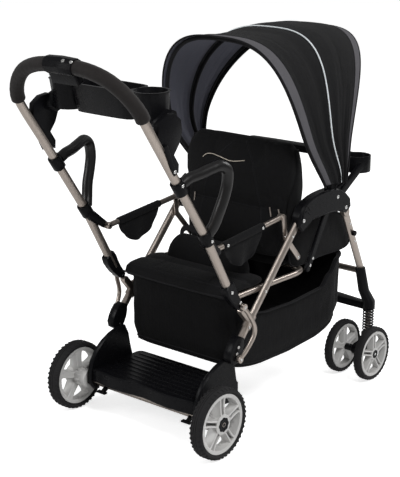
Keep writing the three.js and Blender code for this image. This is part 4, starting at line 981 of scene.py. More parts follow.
barX = 180
sideBar = {"radius": 7.4, "eye": 9.4, "head": 10.0}
for label, sign in sides.items():
    a, b = side(places["sideRear"], sign, barX), side(places["sideFront"], sign, barX)
    parts = [tube("shaft", evenly([a, b], 8), sideBar["radius"] * mm, "metal", 24)]
    for end in ("sideRear", "sideFront"):
        a, b = (side(places[end], sign, barX + way * sideBar["radius"]) for way in (-1, 1))
        parts.append(roundedTube(a, b, sideBar["eye"], "eye", "metal", 28, 1.2))
    bodyPiece(merged("side_rail_" + label, parts), "side_bars", "metal", "side_bar_" + label)

# frame tubes with smooth walls

seatRail = {"radius": 7.9, "x": railHalf - 8 - 0.3 - 8, "front": -63, "rear": 236, "z": 377, "bend": 34}
x, front, rear, turnIn = (seatRail[key] for key in ("x", "front", "rear", "bend"))
corner = turnIn * 0.3
half = [
    (x, rear), (x, (rear + front) / 2), (x, front + turnIn), (x - corner, front + corner),
    (x - turnIn, front),
]
near = [at(px, py, seatRail["z"]) for px, py in half]
route = [*near, at(0, front, seatRail["z"]), *mirrored(near)]
seatTube = tube("seat_rail", softPath(route, 120), seatRail["radius"] * mm, "metal", 24)
bodyPiece(seatTube, "frame", "metal", "seat_frame_tube")

# springs

coil = {"wire": 2.15, "radius": 14.8, "turns": 8, "low": 120.4, "high": 187.6}
for label, sign in sides.items():
    start = meshFrom("seed", [Vector((0, 0, 0))], [])
    foot = at(sign * casterPlane, places["casterAxis"][0], coil["low"])
    wound = {
        "Turns": float(coil["turns"]), "Radius": coil["radius"] * mm, "Wire": coil["wire"] * mm, "Foot": foot,
        "Height": (coil["high"] - coil["low"]) * mm,
    }
    spring = grown("spring_" + label, start, recipes["coil"], wound, "spring")
    crisp(spring, 60)
    bodyPiece(spring, "front_frame", "spring", "coil_spring_" + label)
print("tubes, links and springs made")

# rivets and screws


def domeHead():
    steps = ((0, 0.2), (0, 1), (0.16, 1), (0.3, 0.93), (0.42, 0.76), (0.5, 0.5), (0.53, 0.2))
    turns = [math.pi * k / 12 for k in range(24)]
    rings = [[Vector((r * math.cos(turn), r * math.sin(turn), z)) for turn in turns] for z, r in steps]
    return formed("rivet_head", skin(rings), "steel")


def screwHead():
    steps = (
        (0, 0.2, 0), (0, 1, 0), (0.3, 1, 0), (0.42, 0.9, 0), (0.42, 0.55, 1), (0.16, 0.42, 1), (0.16, 0.1, 0),
    )
    rings = []
    for z, r, cross in steps:
        ring = []
        for k in range(48):
            turn = 2 * math.pi * k / 48
            cut = 1 - cross * 0.62 * (0.5 - 0.5 * math.cos(4 * turn)) ** 0.5
            ring.append(Vector((r * cut * math.cos(turn), r * cut * math.sin(turn), z)))
        rings.append(ring)
    return formed("screw_head", skin(rings), "steel")


heads = {"rivet": domeHead(), "screw": screwHead()}


def surfaceOf(piece):
    mesh = piece.data
    return BVHTree.FromPolygons([v.co for v in mesh.vertices], [tuple(f.vertices) for f in mesh.polygons])


def landing(piece, start, aim):
    # the place where a line from start along aim first meets a piece
    return surfaceOf(piece).ray_cast(start, aim)[0]


def fastened(name, body, spots, size, kind="rivet"):
    mesh = bpy.data.meshes.new(name)
    mesh.from_pydata([tuple(p - aim * (0.15 * size * mm)) for p, aim in spots], [], [])
    aims = mesh.attributes.new("aim", "FLOAT_VECTOR", "POINT")
    for i, (p, aim) in enumerate(spots):
        aims.data[i].vector = aim
    piece = grown(name, mesh, recipes["fastener"], {"Head": heads[kind], "Size": size * mm}, "steel")
    crisp(piece, 50)
    return bodyPiece(piece, body, "steel")


def fromOutside(stem, label, spots):
    # where each place of the side view lands on the outer face of a moulded part
    aim = -outward[label]
    return [landing(shaped[stem + "_" + label], side(spot, sides[label], farOut), aim) for spot in spots]


rivetPlaces = {
    "hub_housing": (5.2, [(-6, 532), (-205, 528), (-163, 566)]),
    "rocker": (4.4, [places["rockerPivot"], places["rockerFoot"]]),
    "rear_leg": (3.8, [between(places["legTop"], places["legFoot"], share) for share in (0.13, 0.56, 0.83)]),
    "front_leg": (3.8, [between(places["foldPivot"], places["frontFoot"], share) for share in (0.24, 0.47)]),
    "pushbar_bracket": (4.6, [(258, 372), (292, 408)]),
    "rear_bracket": (4.4, [(262, 252), (254, 205), (268, 236)]),
    "seat_link": (3.8, [(-60, 392), (-72, 410)]),
    "caster_fork": (4.0, [(-299, 80)]),
}
knobForm = {"share": 0.36, "sunk": 2, "height": 9, "radius": 7.5, "rounding": 1.6}
ridgeForm = {"start": (6, 536), "step": 34, "rise": 36, "radius": 1.5}
armForm = {"out": 13.5, "half": 2.2, "wide": 7.5, "rivetShare": 0.35,
           "route": ((224, -1), (246, 1), (274, 6), (304, 12))}
loopRivets = (loop["upper"] + 9, -9)
for label, sign in sides.items():
    knee, top, aim = places["knee"], places["barTop"], outward[label]
    for stem, (size, wanted) in rivetPlaces.items():
        spots = [(p, aim) for p in fromOutside(stem, label, wanted) if p]
        fastened(f"rivets_{stem}_{label}", bodyOfNode[stem + "_" + label], spots, size)
    spots = [(side(places[end], sign, barX + 7.2), aim) for end in ("sideRear", "sideFront")]
    for share in (0.17, 0.68):
        place = between(places["sideRear"], places["sideFront"], share)
        spots.append((side(place, sign, barX + sideBar["head"]), aim))
    fastened("rivets_side_rail_" + label, "side_bars", spots, 4.2)
    collarFace = railHalf + loop["collar"] - 0.2
    spots = [(side(beside(knee, top, along), sign, collarFace), aim) for along in loopRivets]
    fastened("rivets_grab_loop_" + label, "pushbar", spots, 4.4)
    knobSpot = between(places["foldPivot"], places["frontFoot"], knobForm["share"])
    foot = fromOutside("front_leg", label, [knobSpot])[0]
    knobFrom = foot - Vector((sign * knobForm["sunk"] * mm, 0, 0))
    knobTo = foot + Vector((sign * knobForm["height"] * mm, 0, 0))
    knob = roundedTube(
        knobFrom, knobTo, knobForm["radius"], "leg_knob_" + label, "satin", 28, knobForm["rounding"]
    )
    bodyPiece(knob, "front_frame", "satin")
    # low ridges over the outer face of the housing
    ribs = []
    for lift, reach in ((0, 0.92), (9, 0.8)):
        (y, z), step, rise = ridgeForm["start"], ridgeForm["step"], ridgeForm["rise"]
        ridge = [
            (y - step * t, z + rise * math.sin(math.pi * t / 1.4) * reach - lift)
            for t in (0, 0.35, 0.7, 1.1, 1.6, 2.2)
        ]
        spots = [p for p in fromOutside("hub_housing", label, ridge) if p]
        if len(spots) > 3:
            ribs.append(tube("rib", softPath(spots, 40), ridgeForm["radius"] * mm, "satin", 10))
    if ribs:
        bodyPiece(merged("housing_ribs_" + label, ribs), "frame", "satin")
    armPath = [side(beside(knee, top, *spot), sign, railHalf + armForm["out"]) for spot in armForm["route"]]
    arm = tube(
        "tray_arm_" + label, softPath(armPath, 40), armForm["half"] * mm, "satin", 12,
        wide=armForm["wide"] * mm, aim=(1, 0, 0),
    )
    bodyPiece(arm, "pushbar", "satin")
    armFace = armPath[0] + Vector((sign * armForm["half"] * mm, 0, 0))
    spot = armFace + (armPath[1] - armPath[0]) * armForm["rivetShare"]
    fastened("rivet_tray_arm_" + label, "pushbar", [(spot, aim)], 4.6)
screwForm = {"across": (-18, -43), "tilt": math.radians(42), "above": 0.09}
up = Vector((0, math.cos(screwForm["tilt"]), math.sin(screwForm["tilt"])))
screws = [
    landing(shaped["handle_housing"], at(x, *crown) + up * screwForm["above"], -up)
    for x in screwForm["across"]
]
fastened("housing_screws", "pushbar", [(p, up) for p in screws if p], 4.4, "screw")
for head in heads.values():
    bpy.data.objects.remove(head)
print("rivets and screws set")

# cushions


def rows(sections, count):
    # low line, high line and width of a cushion, from one end to the other
    low = softPath([Vector((0, a[0], a[1])) for a, b, w in sections], count)
    high = softPath([Vector((0, b[0], b[1])) for a, b, w in sections], count)
    out = []
    for i in range(count):
        share = i / (count - 1) * (len(sections) - 1)
        k = min(int(share), len(sections) - 2)
        wide = sections[k][2] + (sections[k + 1][2] - sections[k][2]) * (share - k)
        out.append((low[i], high[i], wide))
    return out


cushion = {
    "columns": 48, "shrink": 2.5, "voxel": 5.0, "frames": 20,
    "cloth": {
        "use_pressure": True, "uniform_pressure_force": 4.0, "quality": 4, "mass": 0.3,
        "tension_stiffness": 14, "compression_stiffness": 14, "bending_stiffness": 0.4,
        "vertex_group_mass": "pins",
    },
}


def cushionForm(name, sections, half, finish, count=60, squareness=4.0):
    columns = cushion["columns"]
    across = [-math.cos(math.pi * j / columns) for j in range(columns + 1)]
    rings = []
    for low, high, wide in rows(sections, count):
        middle = (low + high) / 2
        ring = []
        for edge, line in ((high, across), (low, across[-2:0:-1])):
            for u in line:
                swell = (1 - abs(u) ** squareness) ** (1 / squareness)
                p = middle + (edge - middle) * swell
                ring.append(at(u * (half * wide - cushion["shrink"]), p.y, p.z))
        rings.append(ring)
    return formed(name, skin(rings), finish)


def puffed(piece, held, cap):
    # blows a cushion up as cloth under pressure, with the held places pinned and every move capped
    finish = piece.data.materials[0]
    remesh = piece.modifiers.new("voxels", "REMESH")
    remesh.mode = "VOXEL"
    remesh.voxel_size = cushion["voxel"] * mm
    settled(piece)
    rest = [v.co.copy() for v in piece.data.vertices]
    pins = piece.vertex_groups.new(name="pins")
    for i, co in enumerate(rest):
        weight = held(co.x / mm, (co.y - rowShift) / mm, co.z / mm)
        if weight > 0:
            pins.add([i], weight, "REPLACE")
    cloth = piece.modifiers.new("cloth", "CLOTH")
    for setting, value in cushion["cloth"].items():
        setattr(cloth.settings, setting, value)
    cloth.settings.effector_weights.gravity = 0
    cloth.collision_settings.use_collision = False
    cloth.point_cache.frame_start = 1
    cloth.point_cache.frame_end = cushion["frames"] + 2
    scene = bpy.context.scene
    for number in range(1, cushion["frames"] + 1):
        scene.frame_set(number)
    settled(piece)
    for vertex, start in zip(piece.data.vertices, rest):
        move = vertex.co - start
        if move.length > cap * mm:
            move *= cap * mm / move.length
        vertex.co = start + move
    piece.vertex_groups.clear()
    scene.frame_set(1)
    finer = piece.modifiers.new("finer", "SUBSURF")
    finer.levels = finer.render_levels = 1
    settled(piece)
    piece.data.materials.clear()
    piece.data.materials.append(finish)
    for face in piece.data.polygons:
        face.use_smooth = True


stitch = {"Spacing": 5.0 * mm, "Length": 3.0 * mm, "Thickness": 0.8 * mm}


def stitched(name, points, **changes):
    mesh = bpy.data.meshes.new(name)
    mesh.from_pydata([tuple(p) for p in points], [(i, i + 1) for i in range(len(points) - 1)], [])
    return grown(name, mesh, recipes["stitch"], {**stitch, **changes}, "thread")


def onSurface(piece, points, aim, lift):
    # drops a line of points on to a piece along aim, and lifts it a little
    tree = surfaceOf(piece)
    out = []
    for p in points:
        place = tree.ray_cast(p - aim * 0.3, aim)[0]
        out.append(place - aim * (lift * mm) if place else p)
    return out


def nearSeams(*seams):
    return lambda x, y, z: float(any(seam(x, y, z) for seam in seams))


floorZ = seatRail["z"] + 8 + 0.3  # the seats' underside lies on the seat tube
benchRows = [(100, -2, 7, 0.86), (108, -5, 13, 0.96), (130, -6, 18, 1), (166, -6, 18, 1), (176, -6, 13, 1),
             (186, -6, 18, 1), (240, -6, 14, 1), (256, -16, 6, 0.99), (264, -20, -8, 0.96)]
benchBackRows = [(391, 101, 152, 1), (423, 100, 150, 1), (447, 104, 146, 0.95), (463, 110, 138, 0.85),
                 (470, 118, 130, 0.7)]
seatRows = [(-300, 16, 22, 0.82), (-292, 6, 34, 0.94), (-262, 1, 41, 1), (-170, 0, 38, 1), (-156, 0, 31, 1),
            (-142, 0, 37, 1), (-15, 0, 36, 1), (-9, 3, 30, 0.97), (-7, 10, 20, 0.94)]
backRows = [(421.6, -20, 22, 0.9), (434, -28, 32, 0.97), (540, -36, 26, 1), (552, -33, 21, 1),
            (564, -38, 24, 1.02), (610, -44, 18, 1.1), (690, -56, 6, 1.12), (714, -56, -8, 1.08),
            (728, -44, -30, 0.96)]


def flat(table):
    return [((y, floorZ + low), (y, floorZ + high), wide) for y, low, high, wide in table]


def upright(table):
    return [((front, z), (rear, z), wide) for z, front, rear, wide in table]


benchPad = cushionForm("bench_pad", flat(benchRows), 191, "pad")
puffed(benchPad, nearSeams(
    lambda x, y, z: abs(y - 176) < 3.5, lambda x, y, z: abs(abs(x) - 96) < 3 and y < 240,
    lambda x, y, z: abs(x) > 184, lambda x, y, z: z < floorZ - 2,
), 6)
bodyPiece(benchPad, "frame", "pad", "bench_seat")
benchBack = cushionForm("bench_rest", upright(benchBackRows), 138, "pad", count=30)
puffed(benchBack, nearSeams(
    lambda x, y, z: abs(x) < 3, lambda x, y, z: z < 398, lambda x, y, z: abs(x) > 131,
), 7)
bodyPiece(benchBack, "frame", "pad")
seatPad = cushionForm("seat_pad", flat(seatRows), 164, "pad")
puffed(seatPad, nearSeams(
    lambda x, y, z: abs(y + 156) < 4, lambda x, y, z: abs(abs(x) - 82) < 3, lambda x, y, z: abs(x) > 157,
    lambda x, y, z: z < floorZ + 4,
), 8)
bodyPiece(seatPad, "frame", "pad", "seat_base")
backPad = cushionForm("seat_rest", upright(backRows), 165, "pad", squareness=5)
puffed(backPad, nearSeams(
    lambda x, y, z: abs(z - 552) < 4, lambda x, y, z: abs(abs(x) - 78) < 3 and y < -20,
    lambda x, y, z: z < 427,
), 7)
bodyPiece(backPad, "seat_back", "pad", "seat_back")
print("cushions made")

# seams, straps and buckle


def edged(name, line, radius, finish, body, wide=None, aim=None):
    piece = tube(name, line, radius * mm, finish, 10, wide=None if wide is None else wide * mm, aim=aim)
    return bodyPiece(piece, body, finish)


def onBack(route, count, aim, lift):
    # a line across the seat back, from places (x, z)
    return onSurface(backPad, softPath([at(x, 0, z) for x, z in route], count), aim, lift)


rearward, downward = Vector((0, 1, 0)), Vector((0, 0, -1))
aboveSeats = 400
webbing = 12.5  # half the width of the harness
seams = {
    "back": ((17, 719), (60, 668), (88, 596), (99, 548), (106, 500), (110, 448)),
    "front": ((26, 716), (66, 660), (80, 590), (82, 552), (80, 500), (74, 446)),
}
lengthwise = (
    ("seat_pad_cord_", seatPad, 82, (-285, -220, -160, -90, -20), 0.2),
    ("bench_cord_", benchPad, 96, (112, 150, 178, 210, 250), 0.1),
)
shoulder = ((52, 704), (50, 640), (46, 552), (40, 480))
waistRoute = ((118, -34, 52), (90, -56, 50), (52, -96, 47), (18, -128, 47))
slide = {"x": 46, "half": 16, "z": 560}
for label, sign in sides.items():
    for face, aim in (("back", -rearward), ("front", rearward)):
        line = onBack([(sign * x, z) for x, z in seams[face]], 80, aim, 0.2)
        edged(f"seat_{face}_cord_{label}", line, 1.1, "edge", "seat_back")
        stitchLine = onSurface(backPad, [p + outward[label] * (4 * mm) for p in line], aim, 0.3)
        bodyPiece(stitched(f"seat_{face}_stitch_{label}", stitchLine), "seat_back", "thread")
    for stem, pad, x, along, lift in lengthwise:
        route = softPath([at(sign * x, y, aboveSeats) for y in along], 60)
        edged(stem + label, onSurface(pad, route, downward, lift), 1.0, "edge", "frame")
    strap = onBack([(sign * x, z) for x, z in shoulder], 70, rearward, 1.6)
    edged("shoulder_strap_" + label, strap, 1.0, "webbing", "seat_back", webbing, (0, -1, 0))
    keeper = [at(sign * (slide["x"] + slide["half"] * k), 0, slide["z"] + 1 - abs(k)) for k in (-1, 0, 1)]
    keeper = onSurface(backPad, keeper, rearward, 3.6)
    edged("strap_slide_" + label, keeper, 2.0, "satin", "seat_back", 7.0, (0, -1, 0))
    waist = softPath([at(sign * x, y, floorZ + z) for x, y, z in waistRoute], 50)
    edged("waist_strap_" + label, waist, 1.0, "webbing", "frame", webbing, (0, -0.5, 1))
for name, reach, step, piece, place in (
    ("seat_back_fold", 150, 6, backPad, (0, 552)),
    ("seat_pad_fold", 140, 6, seatPad, (-156, aboveSeats)),
    ("bench_fold", 176, 8, benchPad, (176, aboveSeats)),
    ("bench_rear_seam", 182, 7, benchPad, (248, aboveSeats)),
):
    standing = piece is backPad
    body = "seat_back" if standing else "frame"
    aim = -rearward if standing else downward
    shift = Vector((0, 0, 4 * mm)) if standing else Vector((0, -4 * mm, 0.5 * mm))
    laid = onSurface(piece, [at(x, *place) for x in range(-reach, reach + 1, step)], aim, 0.3)
    edged(name + "_cord", laid, 1.0, "edge", body)
    sewn = stitched(name + "_stitch", [p + shift for p in laid], Spacing=5.2 * mm)
    bodyPiece(sewn, body, "thread")
crotch = [at(0, y, floorZ + z) for y, z in ((-205, 41), (-186, 46), (-162, 47), (-146, 47))]
edged("crotch_strap", softPath(crotch, 30), 1.0, "webbing", "frame", webbing, (0, 0, 1))
buckle = [at(0, y, floorZ + z) for y, z in ((-152, 48.5), (-140, 50), (-122, 50), (-108, 48.5))]
edged("harness_buckle", softPath(buckle, 24), 5.0, "satin", "frame", 20.0, (0, 0, 1))
elastic = onBack(((108, 662), (96, 672), (60, 671), (10, 664), (-34, 671)), 60, -rearward, 1.4)
edged("back_elastic", elastic, 1.2, "elastic", "seat_back")
loopPath = stations(
    (96, 122, 456), (95, 120, 474), (86, 119, 484), (62, 120, 487), (40, 120, 483), (31, 121, 472),
    (30, 122, 458),
)
edged("bench_strap_loop", softPath(loopPath, 60), 1.2, "webbing", "frame", 9.0, (0, 0, 1))
edgeHalf = 184
benchEdge = [
    at(x, 263 - 0.00003 * x * x, floorZ - 9 - 4 * math.sin(math.pi * (x + edgeHalf) / (2 * edgeHalf)))
    for x in range(-edgeHalf, edgeHalf + 1, 8)
]
# the piping is a real binding; its slightly lighter webbing finish is a painted highlight along the bench's
# rear edge
edged("bench_piping", benchEdge, 2.4, "webbing", "frame")
print("seams and straps made")

# soft wings down both sides of the seat back

bolster = {"low": 468, "high": 712, "rows": 30, "deep": 64, "thick": 13, "out": 158, "flare": 17, "rear": 14,
           "lean": 42, "slack": 0.9, "hollow": 10}
reclineWires = ((130, (24, 560), (22, 526)), (160, (26, 560), (24, 538)))
for label, sign in sides.items():
    rings = []
    for i in range(bolster["rows"]):
        share = i / (bolster["rows"] - 1)
        z = bolster["low"] + (bolster["high"] - bolster["low"]) * share
        swell = math.sin(math.pi * (0.06 + 0.88 * share)) ** 0.6
        rear = bolster["rear"] - bolster["lean"] * share
        out = bolster["out"] + bolster["flare"] * min(share * 3, 1)
        deep = bolster["deep"] * swell * (1 - 0.25 * share)
        ring = []
        for k in range(32):
            turn = 2 * math.pi * k / 32
            squared = [math.copysign(abs(c) ** 0.7, c) for c in (math.cos(turn), math.sin(turn))]
            slack = bolster["slack"] * noise.noise(Vector((turn, share * 6, sign * 3.0)))
            y = rear - deep * 0.5 + (deep * 0.5 + slack) * squared[1]
            inward = bolster["hollow"] * ((rear - y) / max(deep, 1)) ** 2
            ring.append(at(sign * (out - inward + (bolster["thick"] * swell + slack) * squared[0]), y, z))
        rings.append(ring)
    piece = formed("seat_bolster_" + label, skin(rings), "pad")
    bodyPiece(piece, "seat_back", "pad")
    edgeLine = [max(ring, key=lambda p: (p.x * sign) * 0.3 - p.y) for ring in rings]
    edged("seat_bolster_cord_" + label, edgeLine, 1.4, "edge", "seat_back")
    for x, top, foot in reclineWires:
        rod = [at(sign * x, *top), at(sign * (x + 5), *foot)]
        edged(f"recline_wire_{x}_{label}", evenly(rod, 6), 2.0, "metal", "seat_back")

# cloth sheets from a grid of middle points


def sheetPiece(name, grid, thick, finish, spanU, spanV, *inside):
    # a cloth with two faces and an edge, and for each face its layer: 0 one side, 1 the other, 2 the edge
    countU, countV = len(grid), len(grid[0])
    normals = []
    for i in range(countU):
        row = []
        for j in range(countV):
            du = grid[min(i + 1, countU - 1)][j] - grid[max(i - 1, 0)][j]
            dv = grid[i][min(j + 1, countV - 1)] - grid[i][max(j - 1, 0)]
            row.append(du.cross(dv).normalized())
        normals.append(row)
    points, cloth = [], []
    for layer in (1, -1):
        for i in range(countU):
            for j in range(countV):
                points.append(grid[i][j] + normals[i][j] * (layer * thick * mm / 2))
                cloth.append((i / (countU - 1) * spanU, j / (countV - 1) * spanV))
    total = countU * countV
    faces, layers = [], []
    for i in range(countU - 1):
        for j in range(countV - 1):
            a, b, c, d = i * countV + j, i * countV + j + 1, (i + 1) * countV + j + 1, (i + 1) * countV + j
            faces.append((a, b, c, d))
            layers.append((0, i, j))
            faces.append((a + total, d + total, c + total, b + total))
            layers.append((1, i, j))
    border = [(i, 0) for i in range(countU)] + [(countU - 1, j) for j in range(1, countV)]
    border += [(i, countV - 1) for i in range(countU - 2, -1, -1)]
    border += [(0, j) for j in range(countV - 2, 0, -1)]
    for (i, j), (k, l) in zip(border, border[1:] + border[:1]):
        a, b = i * countV + j, k * countV + l
        faces.append((a, b, b + total, a + total))
        layers.append((2, i, j))
    piece = newPiece(name, meshFrom(name, points, faces, cloth), finish)
    for other in inside:
        piece.data.materials.append(finishes[other])
    return piece, layers, normals


clothThick = 2.2


# canopy

hood = {
    "rise": 444, "lowest": 27, "half": 243, "frontHalf": 262, "square": 3, "frontSquare": 2.8,
    "rearAngle": 60, "middleAngle": 87, "frontAngle": 117, "frontRadius": 480, "sag": 7,
    "pleat": 3, "pleats": 5,
    "gather": (0.34, 0.13, 0.16), "waist": (0.13, 0.14, 10, 0.4), "fade": 0.3,
    "lean": ((173, 40), (140, 190), (58, 230)), "columns": 96, "rows": 144, "ease": 0.86, "end": 0.0035,
    "aside": 0.004,
}


def hoodPoint(u, turn, out=0.0, loose=1.0):
    if u < 0.5:
        angle = hood["rearAngle"] + (hood["middleAngle"] - hood["rearAngle"]) * u * 2
        lean = between(hood["lean"][0], hood["lean"][1], 1 - (1 - 2 * u) ** 1.5)
    else:
        angle = hood["middleAngle"] + (hood["frontAngle"] - hood["middleAngle"]) * (u - 0.5) * 2
        lean = between(hood["lean"][1], hood["lean"][2], 2 * u - 1)
    angle = math.radians(angle)
    front = max(2 * u - 1, 0)
    reach = hood["rise"] / math.sin(min(angle, math.radians(hood["middleAngle"])))
    radius = reach + (hood["frontRadius"] - reach) * front + out
    endY, endZ = radius * math.cos(angle), radius * math.sin(angle)
    square = hood["square"] + (hood["frontSquare"] - hood["square"]) * u
    least = hood["lowest"] / endZ
    height = least + (1 - least) * abs(math.sin(turn)) ** (2 / square)
    rise = 2 * height * endZ
    s = rise / (2 * lean[1] + math.sqrt(4 * lean[1] ** 2 + 2 * (endZ - 2 * lean[1]) * rise))
    slack = 1 - loose * hood["sag"] * math.sin(math.pi * ((2 * u) % 1)) / radius
    share, middle, spread = hood["gather"]
    drawn = 1 - share * (0.3 + 0.7 * min(u / 0.45, 1)) * math.exp(-(((height - middle) / spread) ** 2))
    y = (2 * s * (1 - s) * lean[0] + s * s * endY) * slack * drawn
    z = height * endZ * slack
    waistShare, waistSpread, drop, riseShare = hood["waist"]
    narrowed = 1 - waistShare * math.exp(-height / waistSpread)
    half = (hood["half"] + (hood["frontHalf"] - hood["half"]) * u) * narrowed + out
    folds = math.sin(u * hood["pleats"] * 2 * math.pi) * math.exp(-height / hood["fade"])
    cosine = math.cos(turn)
    x = (half + loose * hood["pleat"] * folds) * math.copysign(abs(cosine) ** (2 / square), cosine)
    down = -drop * (1 - min(height / riseShare, 1))
    place = places["canopyPivot"]
    return at(x, place[0] + down + y, place[1] + z)


def hoodTurn(v):
    # rows crowd towards both ends, where the arch is steep
    eased = v - hood["ease"] * math.sin(2 * math.pi * v) / (2 * math.pi)
    return math.pi * (hood["end"] + (1 - 2 * hood["end"]) * eased)


def wrinkle(u, v):
    # slack cloth between the bows: long shallow creases that run towards the pivots
    free = math.sin(math.pi * ((2 * u) % 1)) if 0 < u < 1 else 0
    edge = 1 - abs(2 * v - 1)
    start = min(edge / 0.06, 1)
    long = noise.noise(Vector((u * 15, v * 3.2, 1.7)))
    fine = noise.noise(Vector((u * 34, v * 9, 4.1)))
    low = math.exp(-edge / 0.22)
    wander = 3 * noise.noise(Vector((u * 6, v * 4, 9)))
    return free * (1.9 * long + 0.7 * fine) + low * (2.4 * math.sin(u * 46 + wander)) * 0.6 * start


def hoodSurface(u, v, out=0.0):
    p = hoodPoint(u, hoodTurn(v))
    aside = hood["aside"]
    du = hoodPoint(min(u + aside, 1), hoodTurn(v)) - hoodPoint(max(u - aside, 0), hoodTurn(v))
    dv = hoodPoint(u, hoodTurn(min(v + aside, 1))) - hoodPoint(u, hoodTurn(max(v - aside, 0)))
    normal = du.cross(dv).normalized()
    if normal.dot(p - at(0, *places["canopyPivot"])) < 0:
        normal = -normal
    return p + normal * ((out + wrinkle(u, v)) * mm)


hoodGrid = [
    [hoodSurface(i / hood["columns"], j / hood["rows"]) for j in range(hood["rows"] + 1)]
    for i in range(hood["columns"] + 1)
]
canopyPiece, canopyLayers, canopyNormals = sheetPiece(
    "canopy_cloth", hoodGrid, clothThick, "cloth", 0.62, 1.5, "band", "lining"
)
# grey bands along both edges outside, grey lining inside with a black pocket for the middle bow
seamAt = {"rear": 0.09, "front": 0.92, "pocket": 0.03}
clothSlot, bandSlot, liningSlot = 0, 1, 2
outerLayer = 0 if canopyNormals[48][64].z > 0 else 1
for face, (layer, i, j) in zip(canopyPiece.data.polygons, canopyLayers):
    u = (i + 0.5) / hood["columns"]
    face.material_index = clothSlot
    if layer == outerLayer and (u > seamAt["front"] or u < seamAt["rear"]):
        face.material_index = bandSlot
    if layer == 1 - outerLayer and u <= seamAt["front"] and abs(u - 0.5) >= seamAt["pocket"]:
        face.material_index = liningSlot
hoodBlend = {
    "start": at(0, 93, places["canopyPivot"][1]),
    "end": at(0, -320, places["canopyPivot"][1]),
}


def blendHood(piece):
    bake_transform(piece)


blendHood(canopyPiece)
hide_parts("canopy_fabric")


def hoodTrim(stem, u, out, radius, finish):
    path = [hoodSurface(u, j / 150, out) for j in range(151)]
    piece = tube("canopy_" + stem, path, radius * mm, finish, 10)
    blendHood(piece)


hoodTrim("piping", 0.5, 2.0, 2.1, "piping")
hoodTrim("rear_binding", 0.0, 0.3, 2.6, "edge")
hoodTrim("front_binding", 1.0, 0.3, 2.4, "edge")
hoodTrim("rear_seam", seamAt["rear"], 1.3, 1.0, "edge")
hoodTrim("front_seam", seamAt["front"], 1.3, 1.0, "edge")
for letter, u in (("a", 0.1), ("b", 0.91), ("c", 0.488), ("d", 0.512)):
    sewn = stitched("canopy_stitch_" + letter, [hoodSurface(u, j / 200, 1.35) for j in range(201)])
    blendHood(sewn)
# gathered tails that go from the hood to the housings
tail = {"x": 206, "lean": 16, "low": 572, "high": 640, "lobes": 11, "rows": 15, "steps": 88, "twist": 1.7,
        "wide": (8, 7), "long": (22, 24)}
for label, sign in sides.items():
    rings = []
    for i in range(tail["rows"]):
        share = i / (tail["rows"] - 1)
        z = tail["low"] + (tail["high"] - tail["low"]) * share
        wide = tail["wide"][0] + tail["wide"][1] * share ** 0.8
        long = tail["long"][0] + tail["long"][1] * share ** 0.9
        ring = []
        for k in range(tail["steps"]):
            turn = 2 * math.pi * k / tail["steps"]
            unevenness = 0.05 * noise.noise(Vector((math.cos(turn) * 2, math.sin(turn) * 2, share * 3)))
            lobe = math.sin(tail["lobes"] * turn + tail["twist"] * share)
            ruffle = 1 + (0.05 + 0.1 * share) * lobe + unevenness
            ring.append(at(
                sign * (tail["x"] + 7 * share + wide * ruffle * math.cos(turn)),
                places["canopyPivot"][0] + tail["lean"] * share + long * ruffle * math.sin(turn), z,
            ))
        rings.append(ring)
    bodyPiece(formed("hood_tail_" + label, skin(rings), "cloth"), "frame", "cloth")

# canopy bows

bow = {"sleeve": 3.45, "fullness": 1.9, "disc": 12, "thick": 5, "inset": 8.8, "root": 9, "start": 0.045,
       "lows": (0.003, 0.012, 0.027), "steps": 150, "taper": 8}


def bowPoint(u, share):
    return hoodPoint(u, math.pi * share, -bow["inset"], 0)


for node, discX, u in (("rear_bow", 188.4, 0.02), ("mid_bow", 181.5, 0.5), ("front_bow", 174.6, 0.97)):
    inner = [bowPoint(u, bow["start"] + (1 - 2 * bow["start"]) * j / 24) for j in range(25)]
    ends, discs = [], []
    for sign in (1, -1):
        lows = [bowPoint(u, share if sign > 0 else 1 - share) for share in bow["lows"]]
        centre = side(places["canopyPivot"], sign, discX)
        hub = centre + (Vector((centre.x, lows[0].y, lows[0].z)) - centre).normalized() * (bow["root"] * mm)
        ends.append([hub, *lows] if sign > 0 else [*reversed(lows), hub])
        a, b = (side(places["canopyPivot"], sign, discX + way * bow["thick"] / 2) for way in (-1, 1))
        discs.append(roundedTube(a, b, bow["disc"], "disc", "satin", 32, 0.8))
    path = softPath(ends[0] + inner + ends[1], bow["steps"])
    # thin near the pivots, where the cloth has no sleeve
    swell = []
    for i in range(bow["steps"]):
        fromEnd = min(i, bow["steps"] - 1 - i)
        fullness = min(max(fromEnd - bow["taper"], 0) / bow["taper"], 1)
        swell.append((bow["sleeve"] + bow["fullness"] * fullness) * mm)
    parts = [tube("sleeve", path, swell, "edge", 14), *discs]
    bodyPiece(merged(node + "_rod", parts), bodyOfNode[node], "metal", node)
print("canopy made")

# storage basket

bag = {
    "middle": -8, "long": 260, "half": 188, "square": 9, "floor": 147, "riseRear": 26, "riseFront": 34,
    "drawn": 90, "around": 144, "up": 30,
    "levels": ((0, 0.87, 0.88), (0.05, 0.95, 0.96), (0.3, 0.99, 1), (1, 1, 1)),
    "rim": ((-262, 379), (-225, 372), (-180, 336), (-144, 306), (-60, 298), (80, 300), (160, 312), (196, 332),
            (236, 364), (252, floorZ - 14.3)),
}


def eased(table, value):
    passed = len([1 for row in table if row[0] < value])
    i = min(max(passed, 1), len(table) - 1)
    (x1, *a), (x2, *b) = table[i - 1], table[i]
    share = min(max((value - x1) / (x2 - x1), 0), 1)
    share = share * share * (3 - 2 * share)
    return [p + (q - p) * share for p, q in zip(a, b)]


def squared(value):
    return math.copysign(abs(value) ** (2 / bag["square"]), value)


